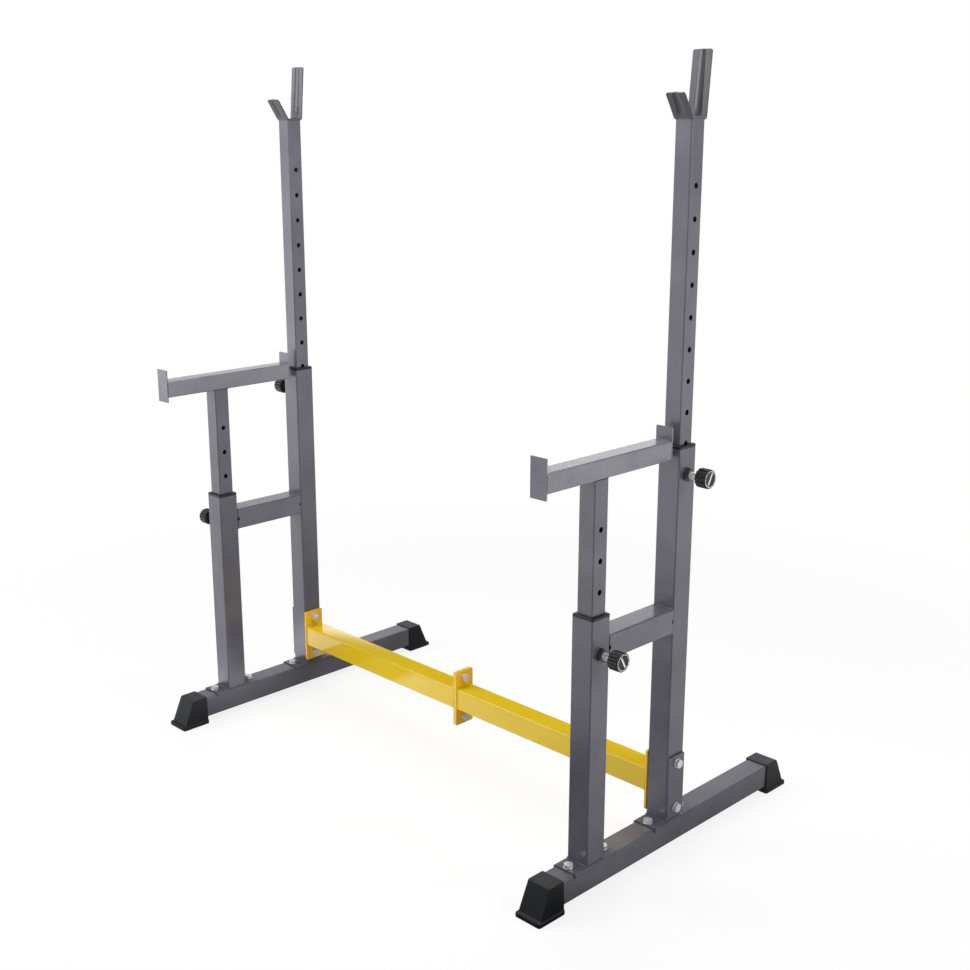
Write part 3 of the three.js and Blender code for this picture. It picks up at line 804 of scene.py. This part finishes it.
# %% [markdown]
# ## Spotter arms
# A spotter arm is a tube across the top of its post, with a flat stop plate on each end to keep a
# dropped bar from rolling off. The front stop reaches below the tube, the rear one only above it.
# The tube takes a lighter copy of the coat, painted light on its top, and the flat faces of the stops take
# the level tubes' copy, which is painted light as well.

# %% Build the spotter arms
STOP_THICKNESS = 3.0
STOP_CORNER = 1.5
STOP_EDGE = 0.35
REAR_STOP_FOOT = 11.5

for side in SIDES:
    name = f"{side}_spotter_arm"
    low, high, middle = span(name)
    width = high[0] - low[0]
    tube_foot = low[2] + REAR_STOP_FOOT
    length = high[1] - low[1] - 2 * SUNK
    tube = moved(square_tube(width, INNER_CORNER, -length / 2, length / 2),
                 (middle[0], middle[1], tube_foot + width / 2), ALONG_Y)
    stops = []
    for foot, front in ((low[2], low[1]), (tube_foot, high[1] - STOP_THICKNESS)):
        outline = rounded(width, high[2] - foot, STOP_CORNER, steps=3)
        plate = skinned([ring(outline, front), ring(outline, front + STOP_THICKNESS)])
        stops.append(moved(plate, (middle[0], 0, (foot + high[2]) / 2), ALONG_Y))
    arm = add_piece(f"{name}_weldment", merged(tube, *stops), painted_light_arm_coat, f"{side}_arm", name,
                    STOP_EDGE)
    # The stops' flat faces take the level tubes' lighter copy: painted light as well.
    second_coat(arm, painted_light_level_coat, faces_along_y)
    print(name, "is", round(length, 1), "mm long with its top at", round(tube_foot + width, 1), "mm")

# %% [markdown]
# ## Bar cups
# Each cup is one strip of 3 mm steel. A press first forms a stiffening rib along it, then folds it
# into a tall rear plate and a short front plate. The rib stands up inside the V and fades out
# before the folds. The strip is drawn as a grid: across it the ribbed section, along it the folded
# path. Solidify gives it its thickness. The cup takes a darker copy of the coat, which is painted
# shade, and the short plate, which leans over and faces down, a darker one still: more painted shade.

# %% Cup shapes
CUP_SHEET = 3.0
CUP_WIDTH = 42.0
CUP_CORNER = 4.5
CUP_FOLD = 2.0
CUP_HALF_BASE = 22.0
RIB_FOOT_WIDTH = 21.0
RIB_TIP_WIDTH = 14.0
RIB_RISE = 0.11
RIB_FADE = 14.0


def cup_path(rise, lean):
    """Points up one leg of the cup from the middle of its base: (distance, y, z, heading)."""
    heading = math.radians(90 - lean)
    radius = CUP_FOLD + CUP_SHEET / 2
    start = CUP_HALF_BASE - radius - CUP_SHEET / 2
    places = [(0.0, 0.0, 0.0, 0.0), (start, start, 0.0, 0.0)]
    for angle in np.linspace(0, heading, 9)[1:]:
        places.append((start + radius * angle, start + radius * math.sin(angle),
                       radius * (1 - math.cos(angle)), angle))
    bent, y0, z0, _ = places[-1]
    straight = (rise - z0 - CUP_SHEET / 2) / math.sin(heading)
    marks = list(np.linspace(0, straight - CUP_CORNER, 26)[1:])
    marks += [straight - CUP_CORNER * (1 - math.sin(a)) for a in QUARTER[1:]]
    for mark in marks:
        places.append((bent + mark, y0 + mark * math.cos(heading), z0 + mark * math.sin(heading), heading))
    return places, bent, bent + straight


def cup_leg(rise, lean, sign, across):
    """Rows of points up one leg, narrowed at the round corners of its tip and lifted by the rib."""
    places, bend_end, tip = cup_path(rise, lean)
    rows = []
    for distance, y, z, heading in places:
        into_corner = CUP_CORNER - min(tip - distance, CUP_CORNER)
        inset = CUP_CORNER - math.sqrt(max(CUP_CORNER**2 - into_corner**2, 0.0))
        up = min(max((distance - bend_end) / (tip - bend_end), 0.0), 1.0)
        fade = min(max((distance - bend_end) / RIB_FADE, 0.0), 1.0)
        rib_width = RIB_FOOT_WIDTH + (RIB_TIP_WIDTH - RIB_FOOT_WIDTH) * up
        rib = RIB_RISE * rib_width * fade * fade * (3 - 2 * fade)
        half = CUP_WIDTH / 2 - inset
        row = []
        for share in across:
            u = share * half
            lift = rib * max(1 - (2 * u / rib_width) ** 2, 0.0)
            row.append((u, sign * (y - lift * math.sin(heading)), z + lift * math.cos(heading)))
        rows.append(row)
    return rows


print("points up a tall plate:", len(cup_path(120, 5)[0]))

# %% Build the bar cups
TALL_PLATE = (121.5, 4.7)
SHORT_PLATE = (45.5, 32.8)
SHORT_PLATE_FROM = 21.0
CUP_COLUMNS = 57


def cup_sheet():
    """The folded strip as a sheet without thickness. A plate is its rise in mm and its lean."""
    across = np.linspace(-1, 1, CUP_COLUMNS)
    short = cup_leg(*SHORT_PLATE, -1, across)
    rows = list(reversed(short))[:-1] + cup_leg(*TALL_PLATE, 1, across)
    points = np.array([point for row in rows for point in row])
    points[:, 2] += CUP_SHEET / 2
    corners = [r * CUP_COLUMNS + c for r in range(len(rows) - 1) for c in range(CUP_COLUMNS - 1)]
    return points, [(k, k + 1, k + CUP_COLUMNS + 1, k + CUP_COLUMNS) for k in corners]


for side in SIDES:
    name = f"{side}_bar_cup"
    low, high, middle = span(name)
    shape = moved(cup_sheet(), (middle[0], 0, low[2]))
    # The cup's darker coat is painted shade.
    cup = add_piece(f"{name}_strip", shape, painted_shade_cup_coat, f"{side}_mast", name)
    # The short plate gets the darkest copy of the coat: more painted shade.
    second_coat(cup, painted_shade_coat, lambda face: face.center.y < -SHORT_PLATE_FROM * MM)
    skin = cup.modifiers.new("sheet_thickness", "SOLIDIFY")
    skin.thickness = CUP_SHEET * MM
    skin.offset = 0
    cup.modifiers.move(len(cup.modifiers) - 1, 0)
    round_edges(cup, EDGE_RADIUS, segments=2, sharpest=math.radians(60), harden=False)
    cup.modifiers.move(len(cup.modifiers) - 1, 1)
    print(name, "seat at", round(low[2] + CUP_SHEET, 1), "mm")

# %% [markdown]
# ## Rubber boots
# A boot slips over each end of a beam. Its outer end slopes down to a wide lip on the floor, and
# the mould leaves its edges slightly round. It is skinned from a few rounded levels, then a socket
# is cut for the beam, and a bevel rounds what is left sharp.

# %% Build the boots
BOOT_LENGTH = 73.0
BOOT_TOP = 41.0
BOOT_EDGE = 0.6
SOCKET_DEPTH = 36.0
SOCKET_SIZE = 51.2
SOCKET_CORNER = 0.5
SOLE = 15.0
# Each level is its height, its width, where it starts and ends along the beam, and its corners.
BOOT_LEVELS = (
    (0.0, 62.4, 0.0, BOOT_LENGTH - 1.0, 4.6), (0.8, 64.2, -1.0, BOOT_LENGTH, 5.2),
    (7.4, 64.6, -1.2, BOOT_LENGTH, 5.2), (8.8, 63.8, -0.8, BOOT_LENGTH - 0.6, 5.0),
    (9.7, 61.6, 0.0, BOOT_LENGTH - 2.4, 4.0), (10.0, 60.2, 0.0, BOOT_LENGTH - 7.0, 3.0),
    (11.0, 59.8, 0.0, BOOT_LENGTH - 8.4, 2.6), (66.2, 56.4, 0.0, BOOT_TOP + 0.2, 2.4),
    (67.3, 55.8, 0.1, BOOT_TOP - 0.6, 2.3), (68.1, 54.6, 0.5, BOOT_TOP - 1.6, 2.1),
    (68.5, 52.8, 1.2, BOOT_TOP - 3.0, 1.8),
)


def boot_level(height, width, near, far, corner, steps=6):
    """A rounded outline between near and far along Y, at a height."""
    outline = [(x, y + (near + far) / 2) for x, y in rounded(width, far - near, corner, steps)]
    return ring(outline, height)


socket = skinned([boot_level(height, SOCKET_SIZE, -4.0, SOCKET_DEPTH, SOCKET_CORNER, steps=2)
                  for height in (SOLE - 0.2, SOLE + SOCKET_SIZE)])
boot_shape = drilled(skinned([boot_level(*level) for level in BOOT_LEVELS]), [socket])
for side in SIDES:
    for end, turn in (("front", HALF_TURN), ("rear", None)):
        name = f"{side}_{end}_foot"
        low, high, middle = span(name)
        near = high[1] if end == "front" else low[1]
        shape = moved(boot_shape, (middle[0], near, 0), turn)
        add_piece(f"{name}_boot", shape, black_rubber, "frame", name, BOOT_EDGE)
print("a boot has", len(boot_shape[1]), "faces before its edges are rounded")

# %% [markdown]
# ## Collars
# A plastic bush in each upright's mouth guides the inner tube. Only its flange shows, as a thin
# black line with a chamfer. The plug below it keeps the inner tube from rattling.

# %% Build the collars
COLLAR_BORE = 38.9
COLLAR_PLUG = 46.0
COLLAR_FLANGE = 6.0


def collar(top, foot):
    """A bush whose flange stands on height 0 and whose plug reaches down to foot."""
    levels = ((COLLAR_PLUG, 1.6, foot), (COLLAR_PLUG, 1.6, 0), (OUTER_SIZE - 0.4, 3.2, 0),
              (OUTER_SIZE, 3.4, 0.3), (OUTER_SIZE, 3.4, top - 2.2), (OUTER_SIZE - 0.8, 3.2, top - 1.2),
              (OUTER_SIZE - 4.2, 3.0, top), (COLLAR_BORE, 3.2, top), (COLLAR_BORE, 3.2, foot))
    return skinned([ring(rounded(size, size, corner), height) for size, corner, height in levels],
                   loop=True)


for side in SIDES:
    for tower in ("rear", "front"):
        name = f"{side}_{tower}_collar"
        low, high, middle = span(name)
        seat = high[2] - COLLAR_FLANGE
        shape = moved(collar(COLLAR_FLANGE, low[2] - seat), (middle[0], middle[1], seat))
        add_piece(f"{name}_bush", shape, black_plastic, "frame", name)
        print(name, "top at", round(high[2], 1), "mm")

# %% [markdown]
# ## Bolts
# Hex bolts with washers hold the saddles and flanges. A hexagon with plain ends looks like a toy:
# on a real head a cone cuts the corners of the top, so each corner drops away in a curve. The ring
# for that edge follows the hexagon outwards and the cone downwards. The end that shows past a nut
# has a thread, made by letting the radius follow a helix.

# %% Hexagons and threads
HEX_SIDES = 48
CONE_SHARE = 0.475
CONE_SLOPE = 0.55
THREAD_SIDES = 32


def hexagon_ring(across_flats, height, coned=False):
    """A hexagonal ring. With a cone, what lies outside the cone's circle drops along its slope."""
    within = turn_angles(HEX_SIDES) % (math.pi / 3) - math.pi / 6
    radii = across_flats / 2 / np.cos(within)
    drop = CONE_SLOPE * np.maximum(radii - across_flats * CONE_SHARE, 0.0) if coned else 0.0
    return polar_ring(radii, height - drop, HEX_SIDES)


def hex_solid(across_flats, foot, top, foot_chamfered=False):
    """A hexagonal head or nut with its top, and perhaps its foot, cut by a cone."""
    cone = across_flats * CONE_SHARE
    rings = [hexagon_ring(across_flats, top, True), polar_ring(cone, top, HEX_SIDES)]
    if foot_chamfered:
        mirrored = hexagon_ring(across_flats, -foot, True)
        mirrored[:, 2] *= -1
        return skinned([polar_ring(cone, foot, HEX_SIDES), mirrored, *rings])
    return skinned([hexagon_ring(across_flats, foot), *rings])


def threaded_rings(radius, depth, pitch, foot, top):
    """Rings whose radius follows a helix, so that skin over them is a screw thread."""
    shares = np.arange(THREAD_SIDES) / THREAD_SIDES
    rings = []
    for height in np.arange(foot, top + pitch / 12, pitch / 6):
        groove = np.abs(2 * ((height / pitch - shares) % 1) - 1)
        rings.append(polar_ring(radius - depth * groove, height, THREAD_SIDES))
    return rings


print("a threaded stretch of 12 mm has", len(threaded_rings(5.0, 0.55, 1.5, 0, 12)), "rings")

# %% Bolt shapes
HEX_FLATS = 17.0
BOLT_HEAD = 6.4
BOLT_NUT = 8.0
BOLT_TIP = 3.0
SHANK_RADIUS = 5.0
THREAD_DEPTH = 0.55
THREAD_PITCH = 1.5
THREAD_RUNS_OUT = (6.0, 4.0)
TIP_RADIUS = 3.9
TIP_CHAMFER = 0.3
WASHER = 2.0
WASHER_RADIUS = 10.0
WASHER_EDGE = 0.3


def washer(foot):
    """A washer with slightly broken edges."""
    top = foot + WASHER
    inner = WASHER_RADIUS - WASHER_EDGE
    return turned_part([(inner, foot), (WASHER_RADIUS, foot + WASHER_EDGE),
                        (WASHER_RADIUS, top - WASHER_EDGE), (inner, top)])


def bolt(shank_foot, grip=None):
    """A bolt with its washer's face at zero and its shank below. Grip adds a nut at the far end."""
    parts = [washer(0.0), hex_solid(HEX_FLATS, WASHER, WASHER + BOLT_HEAD)]
    if grip is None:
        return merged(*parts, turned_part([(SHANK_RADIUS, shank_foot), (SHANK_RADIUS, WASHER)]))
    nut_top = -grip - WASHER
    parts += [washer(nut_top), hex_solid(HEX_FLATS, nut_top - BOLT_NUT, nut_top, True)]
    last, plain = (nut_top - below for below in THREAD_RUNS_OUT)
    thread = threaded_rings(SHANK_RADIUS, THREAD_DEPTH, THREAD_PITCH, shank_foot, last)
    shank = skinned([polar_ring(TIP_RADIUS, shank_foot - TIP_CHAMFER, THREAD_SIDES), *thread,
                     polar_ring(SHANK_RADIUS, plain, THREAD_SIDES),
                     polar_ring(SHANK_RADIUS, WASHER, THREAD_SIDES)])
    return merged(*parts, shank)


print("a bolt with its nut has", len(bolt(-77.0, 62.0)[1]), "faces")

# %% [markdown]
# ## Placing the bolts
# A saddle's bolts stand upright and end inside the beam. The others go right through: at each end
# of the crossbar through the upright and its backing plate, and in the middle through the two
# flanges. Their length comes from the CAD node, so the nut closes on what the bolt clamps. A hand
# that tightens a bolt leaves it at no special angle, so each saddle bolt's head is turned by an
# angle of its own, which comes from the length of its name.

# %% Place the bolts
HEAD_TURN = 0.3


def place_through_bolt(name, sign):
    """A bolt along X with its head on the side of sign, as long as its CAD node."""
    low, high, middle = span(name)
    length = high[0] - low[0]
    grip = length - BOLT_HEAD - 2 * WASHER - BOLT_NUT - BOLT_TIP
    head_face = (high[0] if sign > 0 else low[0]) - sign * (BOLT_HEAD + WASHER)
    shape = moved(bolt(BOLT_HEAD + WASHER - length + TIP_CHAMFER, grip),
                  (head_face, middle[1], middle[2]), OUTWARDS[sign])
    add_piece(f"{name}_set", shape, zinc, "frame", name)


for side, sign in SIDES.items():
    for seat in ("rear_saddle_bolt_ahead", "rear_saddle_bolt_behind", "front_saddle_bolt_ahead",
                 "front_saddle_bolt_behind"):
        name = f"{side}_{seat}"
        low, high, middle = span(name)
        foot = high[2] - BOLT_HEAD - WASHER
        shape = moved(bolt(low[2] - foot), (middle[0], middle[1], foot),
                      Matrix.Rotation(HEAD_TURN * len(name), 3, "Z"))
        add_piece(f"{name}_set", shape, zinc, "frame", name)
    for row in ("lower", "upper"):
        place_through_bolt(f"{side}_{row}_end_bolt", sign)
for row in ("lower", "upper"):
    place_through_bolt(f"{row}_middle_bolt", 1)

# %% [markdown]
# ## Lock pins
# A dark weld nut on the upright holds a bright threaded barrel. A pin slides in the barrel, and a
# ribbed knob on the pin pulls it back, as it is here, or lets it into a hole of the inner tube. The
# barrel's thread is a true helix. The knob has broad ribs for the fingers, and a white ring of
# plain marks and a raised bar on its face, which show how far it is turned.

# %% Pin and knob shapes
NUT_FLATS = 24.0
NUT_HEIGHT = 8.0
NUT_BORE = 7.2
BARREL_RADIUS = 7.5
BARREL_MOUTH = 6.6
BARREL_BORE = 5.3
BARREL_CHAMFER = 0.8
BARREL_THREAD = (0.75, 2.0)
PIN_RADIUS = 5.0
PIN_CHAMFER = 1.5
KNOB_RIBS = 14
# Levels of the knob: radius, depth of the grooves, and height, from its foot or from its face.
KNOB_FOOT = ((9.0, 0, 0), (12.5, 0, 0), (14.0, 0.2, 0.4), (17.6, 1.2, 2.6), (18.7, 2.0, 4.2),
             (19.0, 2.2, 6.0))
KNOB_FACE = ((19.0, 2.2, -2.4), (18.6, 1.6, -1.0), (17.9, 0.4, -0.2), (17.3, 0, 0), (12.6, 0, 0),
             (12.2, 0, -0.7), (0.5, 0, -0.7))


def barrel(foot, end):
    """A threaded tube from foot to end, with its bore."""
    thread = threaded_rings(BARREL_RADIUS, *BARREL_THREAD, foot, end - BARREL_CHAMFER)
    mouth = [polar_ring(radius, height, THREAD_SIDES)
             for radius, height in ((BARREL_MOUTH, end), (BARREL_BORE, end), (BARREL_BORE, foot))]
    return skinned([*thread, *mouth], loop=True)


def weld_nut(foot):
    """A hexagonal nut with its corners cut by a cone, and its bore."""
    top = foot + NUT_HEIGHT
    rings = [hexagon_ring(NUT_FLATS, foot), hexagon_ring(NUT_FLATS, top, True)]
    rings += [polar_ring(radius, height, HEX_SIDES)
              for radius, height in ((NUT_FLATS * CONE_SHARE, top), (NUT_BORE, top), (NUT_BORE, foot))]
    return skinned(rings, loop=True)


def knob_ring(radius, groove, height):
    """A ring of broad ribs with grooves of a depth between them."""
    sides = KNOB_RIBS * 12
    ribs = np.abs(np.cos(turn_angles(sides) * KNOB_RIBS / 2)) ** 5
    return polar_ring(radius - groove * ribs, height, sides)


def knob(length):
    """A ribbed knob that stands on height 0, with a sunken face."""
    face = [(radius, groove, length + height) for radius, groove, height in KNOB_FACE]
    return skinned([knob_ring(*level) for level in (*KNOB_FOOT, *face)])


print("a knob has", len(knob(20.0)[1]), "faces")

# %% Marks on the knobs
MARKS = 20
MARK_DEGREES = (8, 11)
MARK_INNER = (13.6, 14.2)
MARK_OUTER = 16.4
BAR_SIZE = (3.6, 24.0)
BAR_CORNER = 0.8
PRINT_RISE = 0.06


def arc_pad(inner, outer, start, stop, foot, top):
    """A flat piece of a ring between two angles."""
    angles = np.linspace(start, stop, 5)
    outline = [(outer * math.cos(a), outer * math.sin(a)) for a in angles]
    outline += [(inner * math.cos(a), inner * math.sin(a)) for a in reversed(angles)]
    return skinned([ring(outline, foot), ring(outline, top)])


def knob_marks(length, tilt):
    """A ring of plain marks on the rim of the face, and a bar across the middle."""
    top = length + PRINT_RISE
    pads = []
    for step in range(MARKS):
        start = 2 * math.pi * step / MARKS
        width = math.radians(MARK_DEGREES[step % 2])
        inner = MARK_INNER[1 if step % 5 else 0]
        pads.append(arc_pad(inner, MARK_OUTER, start, start + width, length - 0.05, top))
    outline = rounded(*BAR_SIZE, BAR_CORNER, steps=3)
    bar = skinned([ring(outline, height) for height in (length - 0.8, top)])
    return moved(merged(*pads, bar), turn=Matrix.Rotation(math.radians(tilt), 3, "Z"))


print("the marks of a knob have", len(knob_marks(20.0, 0)[1]), "faces")

# %% Build the lock pins
STAND_OFFSET = span("right_mast")[2][0]
SEAT_GAP = 0.1
BAR_TILT = {("right", "front"): -61, ("right", "rear"): 62, ("left", "front"): 40, ("left", "rear"): -65}


def reach_out(name):
    """Where a CAD node starts and ends, in millimetres out from the axis of its stand."""
    low, high, _ = span(name)
    return sorted(abs(x) - STAND_OFFSET for x in (low[0], high[0]))


for (side, tower), tilt in BAR_TILT.items():
    sign = SIDES[side]
    turn = OUTWARDS[sign]
    stem = f"{side}_{tower}"
    name = f"{stem}_pin_barrel"
    middle = span(name)[2]
    axis = (sign * STAND_OFFSET, middle[1], middle[2])
    near, end = reach_out(name)
    add_piece(f"{name}_thread", moved(barrel(near, end), axis, turn), zinc, "frame", name)
    nut = weld_nut(OUTER_SIZE / 2 + SEAT_GAP)
    # The weld nut takes the darker copy of the grey coat, which is painted shade.
    add_piece(f"{stem}_weld_nut", moved(nut, axis, turn), painted_shade_coat, "frame")
    name = f"{stem}_lock_pin"
    tip, back = reach_out(name)
    pin = turned_part([(PIN_RADIUS - PIN_CHAMFER, tip), (PIN_RADIUS, tip + PIN_CHAMFER),
                       (PIN_RADIUS, back)])
    add_piece(f"{name}_rod", moved(pin, axis, turn), zinc, f"{stem}_pin", name)
    name = f"{stem}_knob"
    foot, top = reach_out(name)
    place = (axis[0] + sign * foot, axis[1], axis[2])
    grip = moved(knob(top - foot), place, turn)
    add_piece(f"{name}_grip", grip, black_plastic, name, name)
    add_piece(f"{name}_marks", moved(knob_marks(top - foot, tilt), place, turn), white_print, name)
    print(name, "from", round(foot, 1), "to", round(top, 1), "mm off the tube's axis")

# %% [markdown]
# ## Weld beads
# Steel pieces that meet are joined by arc welds under the paint. A weld is a row of small frozen
# pools, each lapping the one before. A round rod swept along the seam, whose radius swells once
# for each pool, gives that look. Half of it is sunk in the steel.

# %% Bead shapes
POOL_PITCH = 2.4
BEAD_STEP = 0.6


def resampled(path, closed):
    """Points at even steps along a path, and how far along it each one lies."""
    path = np.asarray(path, float)
    if closed:
        path = np.vstack([path, path[:1]])
    lengths = np.linalg.norm(np.diff(path, axis=0), axis=1)
    total = np.concatenate([[0], np.cumsum(lengths)])
    count = max(int(total[-1] / BEAD_STEP), 4)
    marks = np.linspace(0, total[-1], count, endpoint=not closed)
    return np.column_stack([np.interp(marks, total, path[:, axis]) for axis in range(3)]), marks


def bead(path, radius, closed=True, sides=8):
    """A weld bead along a path of points in millimetres."""
    points, marks = resampled(path, closed)
    tangents = np.roll(points, -1, 0) - np.roll(points, 1, 0)
    if not closed:
        tangents[0], tangents[-1] = points[1] - points[0], points[-1] - points[-2]
    rings = []
    for place, tangent, mark in zip(points, tangents, marks):
        tangent = tangent / max(np.linalg.norm(tangent), 1e-9)
        helper = np.array([0, 0, 1.0]) if abs(tangent[2]) < 0.9 else np.array([1.0, 0, 0])
        right = np.cross(tangent, helper)
        right /= np.linalg.norm(right)
        up = np.cross(right, tangent)
        # Two slow waves keep the pools from looking machine made.
        pool = abs(math.sin(math.pi * mark / POOL_PITCH)) ** 0.6
        sway = 1 + 0.10 * math.sin(mark / 7.3) + 0.06 * math.sin(mark / 3.1 + 1)
        reach = radius * (0.78 + 0.22 * pool) * sway
        rings.append(np.array([place + reach * (math.cos(a) * right + math.sin(a) * up)
                               for a in np.linspace(0, 2 * math.pi, sides, endpoint=False)]))
    return skinned(rings, loop=closed)


def square_bead(size, corner, radius, place, turn=None):
    """A bead round a square tube."""
    path = moved((ring(rounded(size, size, corner, steps=4), 0), []), place, turn)[0]
    return bead(path, radius)


def straight_bead(half, radius, place):
    """A bead along X, centred on a place."""
    x, y, z = place
    return bead([(x - half, y, z), (x + half, y, z)], radius, closed=False)


print("a bead of 30 mm has", len(straight_bead(15, 2, (0, 0, 0))[1]), "faces")

# %% Build the weld beads
# A seam round a tube is its size, corner and radius, and a straight one half its length and radius.
SEAMS = {
    "upright": (OUTER_SIZE + 0.4, OUTER_CORNER, 2.1), "crossbar": (OUTER_SIZE + 0.6, OUTER_CORNER, 2.0),
    "cup": (INNER_SIZE + 0.5, INNER_CORNER, 1.3), "brace": (23, 1.9), "post": (16.5, 1.8),
    "stop": (16, 1.2),
}

for side in SIDES:
    for tower in ("rear", "front"):
        low, high, middle = span(f"{side}_{tower}_upright")
        weld = square_bead(*SEAMS["upright"], (middle[0], middle[1], low[2]))
        add_piece(f"{side}_{tower}_upright_weld", weld, grey_coat, "frame")
    low, high, middle = span(f"{side}_brace")
    beads = [straight_bead(*SEAMS["brace"], (middle[0], y, z))
             for y in (low[1], high[1]) for z in (low[2], high[2])]
    add_piece(f"{side}_brace_weld", merged(*beads), grey_coat, "frame")
    low, high, middle = span(f"{side}_mast")
    weld = square_bead(*SEAMS["cup"], (middle[0], middle[1], high[2]))
    add_piece(f"{side}_bar_cup_weld", weld, grey_coat, f"{side}_mast")
    low, high, middle = span(f"{side}_arm_post")
    beads = [straight_bead(*SEAMS["post"], (middle[0], y, high[2])) for y in (low[1], high[1])]
    low, high, middle = span(f"{side}_spotter_arm")
    top = low[2] + REAR_STOP_FOOT + INNER_SIZE
    beads += [straight_bead(*SEAMS["stop"], (middle[0], y, top))
              for y in (low[1] + STOP_THICKNESS, high[1] - STOP_THICKNESS)]
    add_piece(f"{side}_arm_weld", merged(*beads), grey_coat, f"{side}_arm")
    low, high, middle = span(f"{side}_crossbar")
    beads = [square_bead(*SEAMS["crossbar"], (x, middle[1], middle[2]), ALONG_X)
             for x in (low[0] + FLANGE_THICKNESS, high[0] - FLANGE_THICKNESS)]
    add_piece(f"{side}_crossbar_weld", merged(*beads), yellow_enamel, "frame")

# %% [markdown]
# ## Update the scene
# The last cell brings the scene up to date.

# %% Update the scene
bpy.context.view_layer.update()
